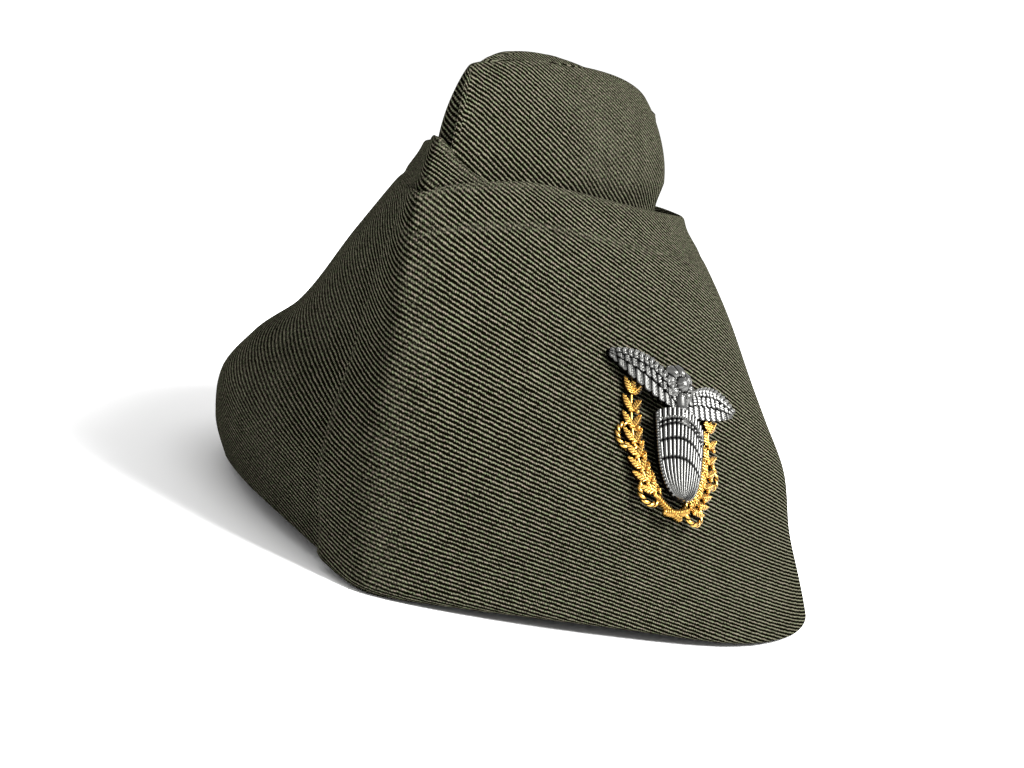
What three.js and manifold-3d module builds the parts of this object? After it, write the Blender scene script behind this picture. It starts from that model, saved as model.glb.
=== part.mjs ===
import * as THREE from "three";
import { mergeVertices } from "three/addons/utils/BufferGeometryUtils.js";
import Module from "manifold-3d";

const wasm = await Module();
wasm.setup();

// Driving sizes in millimetres and degrees. The cap stands on its rim, front at -Y, wearer's left at +X, up +Z.
const rimLength = 250; // front ridge to rear ridge at the rim
const rimWidth = 155; // side to side at the rim
const curtainHeight = 90; // rim to the turned-up edge beside the crown
const crownHeight = 123; // rim to the top of the crown ridges
const crownLeft = 16.5; // the crown reaches this far to the wearer's left of its front seam
const crownRight = 27; // and this far to the right
const crownLength = 216; // twice the reach of the crown's front seam where the dome begins
const crownRear = 0.9; // its rear seam reaches back this share as far
const domeStart = 98; // height where the crown wall starts to round over
const topLean = 17.5; // the top of the curtains stands this far towards the wearer's right
const crownShift = 1.6; // the crown's seams stand this much less far over
const crownLean = 4.8; // its ridges lie this much further over than its wall
const clothWall = 1.5; // curtain wall, two layers of heavy twill pressed together
const panelWall = 1.3; // crown panel and gusset wall
const layerGap = 0.7; // air between one cloth layer and the next
const seamGap = 0.4; // air between the two edges of a seam
const footWall = 1.4; // turned-in foot of a curtain
const seatGap = 0.3; // air between a foot and the panel that stands on it
const leftRimLift = 2.2; // rise of the left rim between front ridge and side
const rightRimLift = 3; // the same on the right
const lapReach = 13; // the left curtain runs this far past the front ridge
const flapTurn = 48; // the right curtain runs underneath to this turn past the ridge, in degrees
const gussetWidth = 13; // gusset between the ridges, at mid length
const gussetGap = 0.6; // air between the gusset and each ridge
const gussetDip = 4; // depth of the valley below the ridges
const ridgeDrop = 7; // the ridges fall this much from mid length to either end
const frontGroove = 2.4; // depth of the groove along the crown's front seam
const frontGrooveWidth = 4.5;
const domeSetback = 6; // the dome's ends lie this far in from the crown wall's
const badgeTurn = 61.5; // badge centre, degrees round from the front ridge
const badgeRise = 44.5; // badge centre above the rim
const badgeTilt = 18; // its top leans this far towards the rear, in degrees
const badgeFacing = 6; // it faces this much further forward than the cloth under it, in degrees
const badgeStandoff = 2.7; // badge back above the cloth
const badgeBend = 90; // radius that the badge is bent to
const shellWidth = 16;
const shellHeight = 20;
const shellArch = 2.4; // its top edge rises this much in the middle
const wingSpan = 44;
const wingRise = 14.5; // wing tips above the badge centre
const rosetteRadius = 5.4;
const rosetteRise = 12.6; // rosette's middle above the badge centre
const goldPlate = 1.3; // thickness of the gold layer
const silverPlate = 1.5; // thickness of the silver layer at its edge
const loopRadius = 3.1; // twisted cord loop, to the middle of its cord
const cordRadius = 0.62; // stems and loops of the sprays
const leafLength = 5.6;
const leafWidth = 2.3;
const postRadius = 1.3;
const nutRadius = 5.5;
const nutThickness = 2;

// Plan sections of the curtains from the rim up. up is a share of curtainHeight, left and right are shares of half
// the rim width, length is a share of half the rim length, lean is a share of topLean, and taper is the power of the
// sine that draws the front half of the plan: 1 gives an ellipse and more gives a sharper front.
const curtainSections = [
  { up: 0.0, left: 1.03, right: 0.98, length: 1.0, lean: 0.0, taper: 2.35 },
  { up: 0.12, left: 0.995, right: 1.03, length: 1.0, lean: 0.17, taper: 2.2 },
  { up: 0.25, left: 0.955, right: 1.005, length: 0.998, lean: 0.35, taper: 2.0 },
  { up: 0.37, left: 0.9, right: 0.925, length: 0.997, lean: 0.41, taper: 2.15 },
  { up: 0.5, left: 0.795, right: 0.775, length: 0.99, lean: 0.48, taper: 2.3 },
  { up: 0.75, left: 0.625, right: 0.585, length: 0.96, lean: 0.78, taper: 2.9 },
  { up: 0.9, left: 0.48, right: 0.47, length: 0.94, lean: 0.91, taper: 3.05 },
  { up: 0.98, left: 0.37, right: 0.4, length: 0.93, lean: 0.98, taper: 3.1 },
  { up: 1.06, left: 0.31, right: 0.345, length: 0.925, lean: 1.0, taper: 3.1 },
  { up: 1.12, left: 0.3, right: 0.335, length: 0.92, lean: 1.0, taper: 3.1 },
];
const rearTaper = 1.5; // the same power for the rear half
const crownTaper = 1.6; // the same power for both halves of the crown
const ridgeRound = 0.38; // share of the plain ellipse in the plan, which rounds the two ridges

// Height of each curtain's turned-up edge round the cap, as a share of curtainHeight. A turn runs from the front
// ridge to the curtain's own side, so that a row with a negative turn is on the lap.
const leftEdge = [
  { turn: -60, height: 0.955 },
  { turn: 0, height: 0.957 },
  { turn: 25, height: 1.0 },
  { turn: 55, height: 1.045 },
  { turn: 90, height: 1.03 },
  { turn: 150, height: 0.99 },
  { turn: 180, height: 0.98 },
];
const rightEdge = [
  { turn: -48, height: 0.985 },
  { turn: -30, height: 1.03 },
  { turn: 0, height: 1.095 },
  { turn: 25, height: 1.075 },
  { turn: 55, height: 1.055 },
  { turn: 90, height: 1.03 },
  { turn: 150, height: 0.99 },
  { turn: 180, height: 0.98 },
];

// Rows of the walls above the foot, as shares of curtainHeight. The crown panels share them with the curtains, so
// that the layers nest.
const wallRows = [0.12, 0.25, 0.37, 0.49, 0.62, 0.76, 0.87, 0.93];
const domeSteps = 5;
const domeBow = 1.7; // power of the cosine that draws the dome in: 1 gives a round bow and more gives a flatter one
const turnStep = 7; // degrees between columns
const lapSteps = 5;

// Edges of a wing from its root out: out is a share of half the wing span, rise a share of wingRise.
const wingLead = [
  { out: 0.06, rise: 0.655 },
  { out: 0.3, rise: 1.17 },
  { out: 0.62, rise: 1.24 },
  { out: 1.0, rise: 1.0 },
];
const wingTrail = [
  { out: 0.06, rise: 0.38 },
  { out: 0.3, rise: 0.41 },
  { out: 0.62, rise: 0.54 },
  { out: 1.0, rise: 0.92 },
];
// Stem of a spray from its foot up, as shares of shellHeight.
const sprayStem = [
  { out: -0.15, rise: -1.02 },
  { out: 0.75, rise: -0.9 },
  { out: 0.68, rise: 0.375 },
];

const colours = {
  twill: 0x524f3c,
  twillShade: 0x46442f,
  silver: 0xc9cac8,
  gold: 0xc79a3a,
  steel: 0x8f8f8b,
};

const radians = THREE.MathUtils.degToRad;
const { clamp, smoothstep, lerp } = THREE.MathUtils;

// Reads column key of a table at x, with a smooth curve that never overshoots its rows.
function readTable(table, by, key, x) {
  const last = table.length - 1;
  if (x <= table[0][by]) return table[0][key];
  if (x >= table[last][by]) return table[last][key];
  const i = table.findIndex((row) => row[by] > x) - 1;
  const slope = (k) => {
    if (k < 0 || k >= last) return null;
    return (table[k + 1][key] - table[k][key]) / (table[k + 1][by] - table[k][by]);
  };
  const tangent = (k) => {
    const before = slope(k - 1);
    const after = slope(k);
    if (before === null || after === null) return before ?? after;
    return before * after <= 0 ? 0 : (2 * before * after) / (before + after);
  };
  const span = table[i + 1][by] - table[i][by];
  const t = (x - table[i][by]) / span;
  const a = table[i][key];
  const b = table[i + 1][key];
  return (
    a * (1 + 2 * t) * (1 - t) ** 2 +
    tangent(i) * span * t * (1 - t) ** 2 +
    b * t * t * (3 - 2 * t) +
    tangent(i + 1) * span * t * t * (t - 1)
  );
}

// Share of the half width at a sine of the turn from the ridge.
const sideShare = (sine, taper) => (1 - ridgeRound) * sine ** taper + ridgeRound * sine;

// Shares of the half width and half length at a turn from the front ridge.
function planShares(turn, front, rear) {
  const sine = Math.sin(radians(turn));
  const side = sideShare(Math.abs(sine), Math.abs(turn) < 90 ? front : rear);
  return { side: Math.sign(sine) * side, ahead: Math.cos(radians(turn)) };
}

// Turn at which the plan at height up lies x to the left of the front ridge, found by halving.
function turnAcross(x, up) {
  const half = (readTable(curtainSections, "up", x > 0 ? "left" : "right", up) * rimWidth) / 2;
  const taper = readTable(curtainSections, "up", "taper", up);
  let low = 0;
  let high = 90;
  while (high - low > 1e-4) {
    const middle = (low + high) / 2;
    if (sideShare(Math.sin(radians(middle)), taper) * half < Math.abs(x)) low = middle;
    else high = middle;
  }
  return Math.sign(x) * low;
}

// The rim rises a little in each front quarter and lies flat on the surface from the sides to the rear.
function rimLift(turn, up) {
  if (Math.abs(turn) >= 90) return 0;
  const lift = turn > 0 ? leftRimLift : rightRimLift;
  return lift * Math.sin(radians(2 * turn)) ** 2 * Math.max(0, 1 - up) ** 1.5;
}

const seamTurn = 179.9; // the columns beside the rear seam
const tipDepth = 1.5; // a layer's ends step in this many times its depth, because the ridges are pointed

// Point of the curtains' surface: turn in degrees, up as a share of curtainHeight, depth inwards from the outer face.
// x overrides the side place, for the edges of a seam.
function curtainPoint(turn, up, depth, x = null) {
  const read = (key) => readTable(curtainSections, "up", key, up);
  const { side, ahead } = planShares(turn, read("taper"), rearTaper);
  const half = (read(turn > 0 ? "left" : "right") * rimWidth) / 2 - depth;
  const length = (read("length") * rimLength) / 2 - tipDepth * depth;
  const across = x === null ? half * side : x;
  return new THREE.Vector3(across - read("lean") * topLean, -length * ahead, up * curtainHeight + rimLift(turn, up));
}

// Depth of the layers that lie outside the right curtain and outside the crown panels. The panels lie one layer
// deeper where both curtains cross the front, and ease back out over these turns.
const layerDepth = clothWall + layerGap;
const rightEase = { from: -75, to: -42 };
const leftEase = { from: 62, to: 84 };
function panelDepth(turn) {
  const underLap = smoothstep(turn, rightEase.from, rightEase.to) * (1 - smoothstep(turn, leftEase.from, leftEase.to));
  return layerDepth * (1 + underLap);
}

// Extra lean of the crown's dome at height z.
const crownLeanAt = (z) => crownLean * clamp((z - domeStart) / (crownHeight - domeStart), 0, 1);

const crownFree = 1.15; // share of curtainHeight above which no curtain limits the crown
const drawStart = 0.68; // the crown wall leaves the curtains at this share of curtainHeight
const drawEnd = 1.05; // and has its own plan from here up
const planStart = 0.9; // its tapers, groove and shift set in from here
const planEnd = 1.1;
const innermost = (a, b) => Math.sign(a) * Math.min(Math.abs(a), Math.max(0, b * Math.sign(a)));

// Plan shares of the crown at a turn and height.
function crownShares(turn, up) {
  const own = smoothstep(up, planStart, planEnd);
  const front = lerp(readTable(curtainSections, "up", "taper", up), crownTaper, own);
  return planShares(turn, front, lerp(rearTaper, crownTaper, own));
}

// Distance of the crown's seams to the wearer's right at a height.
function crownCentre(up) {
  const shift = crownShift * smoothstep(up, planStart, planEnd);
  return readTable(curtainSections, "up", "lean", up) * topLean - shift;
}

// Reach of the crown's wall along the cap, front or rear.
const crownReach = (ahead) => (crownLength / 2) * (ahead > 0 ? 1 : crownRear);

// Crown wall point: it lines the curtains low down and draws in to the crown's own plan above.
function crownWallPoint(turn, up, wall, x = null) {
  const inner = curtainPoint(turn, up, panelDepth(turn) + wall, x);
  const drawn = smoothstep(up, drawStart, drawEnd);
  const { side, ahead } = crownShares(turn, up);
  const half = (turn > 0 ? crownLeft : crownRight) - wall;
  const length = crownReach(ahead) - tipDepth * wall;
  const groove = frontGroove * smoothstep(up, planStart, drawEnd) * Math.exp(-(((half * side) / frontGrooveWidth) ** 2));
  const lean = -crownCentre(up);
  const drawnX = lean + (x === null ? half * side : x);
  const drawnY = -length * ahead + (ahead > 0 ? groove : 0);
  const px = lerp(inner.x, drawnX, drawn);
  const inside = x === null && up < crownFree ? innermost(px - lean, inner.x - lean) + lean : px;
  return new THREE.Vector3(inside, lerp(inner.y, drawnY, drawn), inner.z);
}

const gussetReach = 0.9; // share of the dome's half length where the two ridges meet
const ridgeHalf = (ahead) => (gussetWidth / 2) * Math.max(0, 1 - (ahead / gussetReach) ** 2);
const ridgeHeight = (ahead) => crownHeight - ridgeDrop * ahead ** 2;

// Dome point over a column of the wall: bow runs from 0 at the wall's top to 1 at the ridge seam.
function domePoint(turn, bow, wall, x = null) {
  const domeUp = domeStart / curtainHeight;
  const foot = crownWallPoint(turn, domeUp, wall, x);
  const seamX = -crownCentre(domeUp);
  const centre = seamX - crownLeanAt(foot.z);
  const { ahead } = crownShares(turn, domeUp);
  const hand = Math.sign(turn);
  const edge = hand * Math.max(ridgeHalf(ahead), seamGap / 2);
  const across = edge + (foot.x - centre - edge) * Math.cos((bow * Math.PI) / 2) ** domeBow;
  const z = foot.z + (ridgeHeight(ahead) - wall - foot.z) * Math.sin((bow * Math.PI) / 2);
  const setback = domeSetback * Math.sign(ahead) * ahead ** 2 * bow;
  return new THREE.Vector3(seamX - crownLeanAt(z + wall * bow) + across, foot.y + setback, z);
}

// A closed solid between two equal grids of points, the outer face and the inner face.
function sheetSolid(outer, inner) {
  const rows = outer.length;
  const columns = outer[0].length;
  const at = (face, i, j) => (face * rows + i) * columns + j;
  const index = [];
  const quad = (a, b, c, d) => index.push(a, b, c, a, c, d);
  for (let i = 0; i < rows - 1; i++) {
    for (let j = 0; j < columns - 1; j++) {
      quad(at(0, i, j), at(0, i + 1, j), at(0, i + 1, j + 1), at(0, i, j + 1));
      quad(at(1, i, j), at(1, i, j + 1), at(1, i + 1, j + 1), at(1, i + 1, j));
    }
    quad(at(0, i, 0), at(1, i, 0), at(1, i + 1, 0), at(0, i + 1, 0));
    quad(at(0, i, columns - 1), at(0, i + 1, columns - 1), at(1, i + 1, columns - 1), at(1, i, columns - 1));
  }
  for (let j = 0; j < columns - 1; j++) {
    quad(at(0, 0, j), at(0, 0, j + 1), at(1, 0, j + 1), at(1, 0, j));
    quad(at(0, rows - 1, j), at(1, rows - 1, j), at(1, rows - 1, j + 1), at(0, rows - 1, j + 1));
  }
  const points = [...outer.flat(), ...inner.flat()];
  return toManifold(new THREE.BufferGeometry().setFromPoints(points).setIndex(index));
}

// A geometry as a manifold solid facing outwards.
function toManifold(geometry) {
  const bare = geometry.clone();
  bare.deleteAttribute("normal");
  bare.deleteAttribute("uv");
  const merged = mergeVertices(bare, 1e-4);
  const build = (triVerts) =>
    new wasm.Manifold(new wasm.Mesh({ numProp: 3, vertProperties: merged.attributes.position.array, triVerts }));
  const triVerts = new Uint32Array(merged.index.array);
  const solid = build(triVerts);
  return solid.volume() > 0 ? solid : build(triVerts.slice().reverse());
}

function toMesh(solid, name, colour, roughness, metalness = 0) {
  const { vertProperties, triVerts, numProp } = solid.getMesh();
  const geometry = new THREE.BufferGeometry();
  const data = new THREE.InterleavedBuffer(vertProperties, numProp);
  geometry.setAttribute("position", new THREE.InterleavedBufferAttribute(data, 3, 0));
  geometry.setIndex(new THREE.BufferAttribute(triVerts, 1));
  const mesh = new THREE.Mesh(geometry, new THREE.MeshStandardMaterial({ color: colour, roughness, metalness }));
  mesh.name = name;
  return mesh;
}

const union = (solids) => solids.reduce((sum, solid) => sum.add(solid));

// Evenly stepped turns from start to end, both included.
function turnsBetween(start, end) {
  const count = Math.round(Math.abs(end - start) / turnStep);
  return Array.from({ length: count + 1 }, (_, i) => lerp(start, end, i / count));
}

// One column of a curtain: foot, then the wall up to the turned edge.
function curtainColumn(turnAt, depth, edge, hasFoot, x) {
  const footDepth = depth + clothWall + layerGap + panelWall;
  const footUp = footWall / curtainHeight;
  const footTurn = turnAt(0);
  const outer = [];
  const inner = [];
  if (hasFoot) {
    outer.push(curtainPoint(footTurn, 0, footDepth, x), curtainPoint(footTurn, 0, depth, x));
    inner.push(curtainPoint(footTurn, footUp, footDepth, x), curtainPoint(footTurn, footUp, depth + clothWall, x));
  } else {
    const seat = (footWall + seatGap) / curtainHeight;
    for (const share of [0.5, 1]) {
      const rise = curtainPoint(footTurn, seat * share + seat * 0.5, depth, x);
      const back = curtainPoint(footTurn, seat * share + seat * 0.5, depth + clothWall, x);
      outer.push(rise);
      inner.push(back);
    }
  }
  const topRow = wallRows[wallRows.length - 1];
  for (const up of [...wallRows, lerp(topRow, edge, 0.5), edge]) {
    outer.push(curtainPoint(turnAt(up), up, depth, x));
    inner.push(curtainPoint(turnAt(up), up, depth + clothWall, x));
  }
  return { outer, inner };
}

function leftCurtain() {
  const outer = [];
  const inner = [];
  const add = (turnAt, edgeTurn, x = null) => {
    const edge = readTable(leftEdge, "turn", "height", edgeTurn);
    const column = curtainColumn(turnAt, 0, edge, true, x);
    outer.push(column.outer);
    inner.push(column.inner);
  };
  for (let i = 0; i < lapSteps; i++) {
    const reach = lapReach * (1 - i / lapSteps);
    add((up) => turnAcross(-reach * lapShape(up), up), -reach);
  }
  const turns = turnsBetween(0, 180);
  turns.slice(0, -1).forEach((turn) => add(() => turn, turn));
  add(() => seamTurn, 180, seamGap / 2);
  return sheetSolid(outer, inner);
}

// The lap's end edge lies nearer the ridge at the top than half way down.
const lapDraw = 0.45;
const lapDrawStart = 0.5;
const lapShape = (up) => 1 - lapDraw * smoothstep(up, lapDrawStart, 1);

const lapTurn = 12; // turn of the lap's end at the right curtain's edge
const lapClear = 0.6; // air between the lap's end and the step where the right curtain comes out
const clearTurn = 60; // the right curtain is out at its full place from this turn on
const easeColumns = 9;

function rightCurtain() {
  const outer = [];
  const inner = [];
  const add = (turnAt, depth, hasFoot, edge, x = null) => {
    const column = curtainColumn(turnAt, depth, edge, hasFoot, x);
    outer.push(column.outer);
    inner.push(column.inner);
  };
  const edgeAt = (turn) => readTable(rightEdge, "turn", "height", turn);
  for (const turn of turnsBetween(flapTurn, 0)) add(() => turn, layerDepth, false, edgeAt(-turn));
  for (let i = 1; i <= lapSteps; i++) {
    const reach = (lapReach * i) / lapSteps;
    add((up) => turnAcross(-reach * lapShape(up), up), layerDepth, false, edgeAt(2 * i));
  }
  const lapEnd = lapReach + lapClear;
  for (let k = 0; k < easeColumns; k++) {
    const share = k / easeColumns;
    const turnAt = (up) => lerp(turnAcross(-lapEnd * lapShape(up), up), -clearTurn, share);
    const depth = layerDepth * (1 - smoothstep(k, 1, easeColumns - 1));
    add(turnAt, depth, k > 0, edgeAt(lerp(lapTurn, clearTurn, share)));
  }
  const turns = turnsBetween(-clearTurn, -180);
  for (const turn of turns.slice(0, -1)) add(() => turn, 0, true, edgeAt(-turn));
  add(() => -seamTurn, 0, true, edgeAt(180), -seamGap / 2);
  return sheetSolid(outer, inner);
}

function crownPanel(hand) {
  const outer = [];
  const inner = [];
  const seat = (footWall + seatGap) / curtainHeight;
  const domeUp = domeStart / curtainHeight;
  const add = (turn, x = null) => {
    const column = { outer: [], inner: [] };
    for (const up of [seat, ...wallRows, lerp(wallRows[wallRows.length - 1], domeUp, 0.5), domeUp]) {
      column.outer.push(crownWallPoint(turn, up, 0, x));
      column.inner.push(crownWallPoint(turn, up, panelWall, x));
    }
    for (let k = 1; k <= domeSteps; k++) {
      column.outer.push(domePoint(turn, k / domeSteps, 0, x));
      column.inner.push(domePoint(turn, k / domeSteps, panelWall, x));
    }
    outer.push(column.outer);
    inner.push(column.inner);
  };
  const edge = (hand * seamGap) / 2;
  add(hand * (180 - seamTurn), edge);
  turnsBetween(hand * 5, hand * 175).forEach((turn) => add(turn));
  add(hand * seamTurn, edge);
  return sheetSolid(outer, inner);
}

function topGusset() {
  const outer = [];
  const inner = [];
  const lengthSteps = 22;
  const crossShares = [-1, -0.6, -0.2, 0.2, 0.6, 1];
  const endShare = 0.85;
  const seamX = -crownCentre(domeStart / curtainHeight);
  for (let i = 0; i <= lengthSteps; i++) {
    const ahead = endShare * (1 - (2 * i) / lengthSteps);
    const half = ridgeHalf(ahead) - gussetGap;
    const y = -(crownReach(ahead) - domeSetback * ahead ** 2) * ahead;
    const row = (drop) =>
      crossShares.map((share) => {
        const dip = gussetDip * (1 - (ahead / endShare) ** 2) * (1 - share ** 2);
        const z = ridgeHeight(ahead) - dip - drop;
        return new THREE.Vector3(seamX - crownLeanAt(ridgeHeight(ahead)) + half * share, y, z);
      });
    outer.push(row(0));
    inner.push(row(panelWall));
  }
  return sheetSolid(outer, inner);
}

// Badge frame on the left curtain: across runs to the rear, along runs up the cloth, out stands off it.
const badgeUp = badgeRise / curtainHeight;
const badgeCentre = curtainPoint(badgeTurn, badgeUp, 0);
const slopeUp = curtainPoint(badgeTurn, badgeUp + 0.02, 0).sub(badgeCentre);
const clothOut = curtainPoint(badgeTurn + 1, badgeUp, 0).sub(badgeCentre).cross(slopeUp).normalize();
const uphill = new THREE.Vector3(0, 0, 1).projectOnPlane(clothOut).normalize();
const badgeOut = clothOut.clone().applyAxisAngle(uphill, -radians(badgeFacing));
const badgeAlong = uphill.clone().applyAxisAngle(badgeOut, -radians(badgeTilt));
const badgeAcross = badgeAlong.clone().cross(badgeOut);

// Places a flat badge point (across, along, out) on the cap, bent round an axis that runs up behind it.
function onBadge({ x, y, z }) {
  const angle = x / badgeBend;
  const radius = badgeBend + z;
  return badgeCentre
    .clone()
    .addScaledVector(badgeAcross, radius * Math.sin(angle))
    .addScaledVector(badgeAlong, y)
    .addScaledVector(badgeOut, badgeStandoff + radius * Math.cos(angle) - badgeBend);
}

function bent(geometry) {
  const position = geometry.attributes.position;
  for (let i = 0; i < position.count; i++) {
    const p = onBadge(new THREE.Vector3().fromBufferAttribute(position, i));
    position.setXYZ(i, p.x, p.y, p.z);
  }
  return toManifold(geometry);
}

// A plate of the badge from a grid of front points, with a flat back.
function plate(grid, back) {
  const front = grid.map((row) => row.map(onBadge));
  const behind = grid.map((row) => row.map((p) => onBadge(new THREE.Vector3(p.x, p.y, back))));
  return sheetSolid(front, behind);
}

const silverBack = goldPlate + 0.5;

// Half width of the shell at a share of its height, 0 at the top and 1 at the point.
function shellHalf(down) {
  const round = Math.sqrt(Math.max(0.004, 1 - down ** 3.2));
  return (shellWidth / 2) * round * (1 - 0.06 * Math.sin(down * Math.PI));
}

// Fan shell with ribs that run together at its lower point.
function shell() {
  const columns = 14;
  const rows = 6;
  const top = shellHeight * 0.14;
  const grid = [];
  for (let j = 0; j <= rows; j++) {
    const down = j / rows;
    const row = [];
    for (let i = 0; i <= columns; i++) {
      const share = (2 * i) / columns - 1;
      const swell = 1.7 * (1 - share ** 2) * (1 - 0.5 * down);
      const rib = i % 2 ? 0.4 : 0;
      const y = lerp(top + shellArch * (1 - share ** 2), top - shellHeight, down);
      row.push(new THREE.Vector3(share * shellHalf(down), y, silverBack + silverPlate * 0.7 + swell + rib));
    }
    grid.push(row);
  }
  return plate(grid, silverBack);
}

// One raised wing. side is -1 towards the front of the cap and 1 towards the rear.
function wing(side) {
  const place = ({ out, rise }) => new THREE.Vector2((out * wingSpan) / 2, rise * wingRise);
  const lead = new THREE.CubicBezierCurve(...wingLead.map(place));
  const trail = new THREE.CubicBezierCurve(...wingTrail.map(place));
  const spanSteps = 6;
  const chordSteps = 8;
  const grid = [];
  for (let i = 0; i <= spanSteps; i++) {
    const a = lead.getPoint(i / spanSteps);
    const b = trail.getPoint(i / spanSteps);
    const row = [];
    for (let j = 0; j <= chordSteps; j++) {
      const p = a.clone().lerp(b, j / chordSteps);
      const feather = j % 2 ? 0.4 : 0;
      const leading = j < 2 ? 0.35 : 0;
      row.push(new THREE.Vector3(side * p.x, p.y, silverBack + silverPlate * 0.75 + feather + leading));
    }
    grid.push(row);
  }
  return plate(grid, silverBack);
}

function ball(x, y, z, rx, ry, rz, around = 8, rings = 6) {
  return bent(new THREE.SphereGeometry(1, around, rings).scale(rx, ry, rz).translate(x, y, z));
}

// Round boss with eight lobes round it.
function rosette(middle) {
  const lobes = 8;
  const boss = rosetteRadius * 0.42;
  const reach = rosetteRadius * 0.66;
  const lobe = rosetteRadius * 0.34;
  const pieces = [ball(0, rosetteRise, middle + 0.6, boss, boss, 1.6)];
  for (let i = 0; i < lobes; i++) {
    const angle = (i * 2 * Math.PI) / lobes;
    const x = reach * Math.cos(angle);
    const y = rosetteRise + reach * Math.sin(angle);
    pieces.push(ball(x, y, middle, lobe, lobe, 1.1, 6, 3));
  }
  return union(pieces);
}

function wingedShell() {
  const middle = silverBack + silverPlate * 0.8;
  const neck = new THREE.CylinderGeometry(1.6, 2.8, 7, 9).scale(1, 1, 0.5).translate(0, 5.4, middle);
  return union([shell(), wing(-1), wing(1), rosette(middle), bent(neck)]);
}

// A leaf as a long diamond with a raised midrib.
function leaf(x, y, angle, length, width) {
  const geometry = new THREE.OctahedronGeometry(1).scale(length / 2, width / 2, goldPlate * 0.55);
  return bent(geometry.rotateZ(angle).translate(x, y, goldPlate / 2));
}

const leafSpread = 0.62; // angle between a leaf and its stem, in radians
const loopPlaces = [0.72, 0.3]; // shares of the stem that the loops hang at

function spray(side) {
  const middle = goldPlate / 2;
  const place = ({ out, rise }) => new THREE.Vector3(side * out * shellHeight, rise * shellHeight, middle);
  const stem = new THREE.QuadraticBezierCurve3(...sprayStem.map(place));
  const section = new THREE.Shape().absarc(0, 0, cordRadius, 0, 2 * Math.PI);
  const options = { steps: 9, curveSegments: 2, bevelEnabled: false, extrudePath: stem };
  const pieces = [bent(new THREE.ExtrudeGeometry(section, options))];
  const leafPairs = 4;
  for (let i = 0; i < leafPairs; i++) {
    const at = 0.34 + (0.62 * i) / (leafPairs - 1);
    const p = stem.getPoint(at);
    const t = stem.getTangent(at);
    const ahead = Math.atan2(t.y, t.x);
    const reach = leafLength * 0.42;
    for (const angle of [ahead - leafSpread, ahead + leafSpread]) {
      pieces.push(leaf(p.x + Math.cos(angle) * reach, p.y + Math.sin(angle) * reach, angle, leafLength, leafWidth));
    }
  }
  for (const at of loopPlaces) {
    const p = stem.getPoint(at);
    const ring = new THREE.TorusGeometry(loopRadius, cordRadius, 5, 10);
    pieces.push(bent(ring.translate(p.x + (side * loopRadius) / 2, p.y, middle)));
  }
  return union(pieces);
}

const badgeSprays = () => union([spray(-1), spray(1)]);

// Straight cylinder along the badge's outward direction, from one distance to another along it.
function postCylinder(radius, from, to, sides = 16) {
  const geometry = new THREE.CylinderGeometry(radius, radius, to - from, sides);
  const upright = new THREE.Vector3(0, 1, 0);
  geometry.applyQuaternion(new THREE.Quaternion().setFromUnitVectors(upright, badgeOut));
  const middle = badgeCentre.clone().addScaledVector(badgeAlong, postDrop).addScaledVector(badgeOut, (from + to) / 2);
  return toManifold(geometry.translate(middle.x, middle.y, middle.z));
}

const postDrop = -shellHeight * 0.3;
const postTip = badgeStandoff + silverBack - seatGap;
const nutFace = -(2 * layerDepth + panelWall + 1.6);
const badgePost = () =>
  postCylinder(postRadius, nutFace - nutThickness / 2, postTip).add(
    postCylinder(nutRadius, nutFace - nutThickness, nutFace, 20),
  );
const postHole = postCylinder(postRadius + seatGap, nutFace - nutThickness, badgeStandoff, 14);

const cap = new THREE.Group();
const cloth = new THREE.Group();
cloth.add(toMesh(leftCurtain().subtract(postHole), "left_curtain", colours.twill, 0.95));
cloth.add(toMesh(rightCurtain(), "right_curtain", colours.twillShade, 0.95));
cloth.add(toMesh(crownPanel(1).subtract(postHole), "left_crown_panel", colours.twill, 0.95));
cloth.add(toMesh(crownPanel(-1), "right_crown_panel", colours.twillShade, 0.95));
cloth.add(toMesh(topGusset(), "top_gusset", colours.twillShade, 0.95));
const badge = new THREE.Group();
badge.add(toMesh(wingedShell(), "badge_winged_shell", colours.silver, 0.3, 1));
badge.add(toMesh(badgeSprays(), "badge_sprays", colours.gold, 0.28, 1));
badge.add(toMesh(badgePost(), "badge_post", colours.steel, 0.4, 1));
cap.add(cloth, badge);

// The origin is under the middle of the cap's box, on the surface that it stands on.
const middle = new THREE.Box3().setFromObject(cap).getCenter(new THREE.Vector3());
cap.position.set(-middle.x, -middle.y, 0);

export default cap;
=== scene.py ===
import bpy
import numpy as np
from bpy.props import FloatProperty, FloatVectorProperty, IntProperty, PointerProperty
from mathutils import Matrix, Vector


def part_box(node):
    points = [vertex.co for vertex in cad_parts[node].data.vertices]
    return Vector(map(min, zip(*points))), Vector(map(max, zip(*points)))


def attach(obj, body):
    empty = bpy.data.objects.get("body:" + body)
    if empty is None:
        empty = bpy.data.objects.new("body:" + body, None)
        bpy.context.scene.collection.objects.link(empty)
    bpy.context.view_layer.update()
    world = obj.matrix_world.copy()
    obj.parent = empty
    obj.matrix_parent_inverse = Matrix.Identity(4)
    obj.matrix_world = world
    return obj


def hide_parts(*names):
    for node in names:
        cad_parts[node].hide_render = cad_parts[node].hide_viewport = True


bl_info = {
    "name": "Garrison cap",
    "version": (1, 0, 0),
    "blender": (4, 5, 0),
    "location": "View3D > Sidebar > Cap",
    "description": "Dresses the garrison cap's solids in ribbed twill and a finely cast badge",
    "category": "Object",
}

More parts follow.
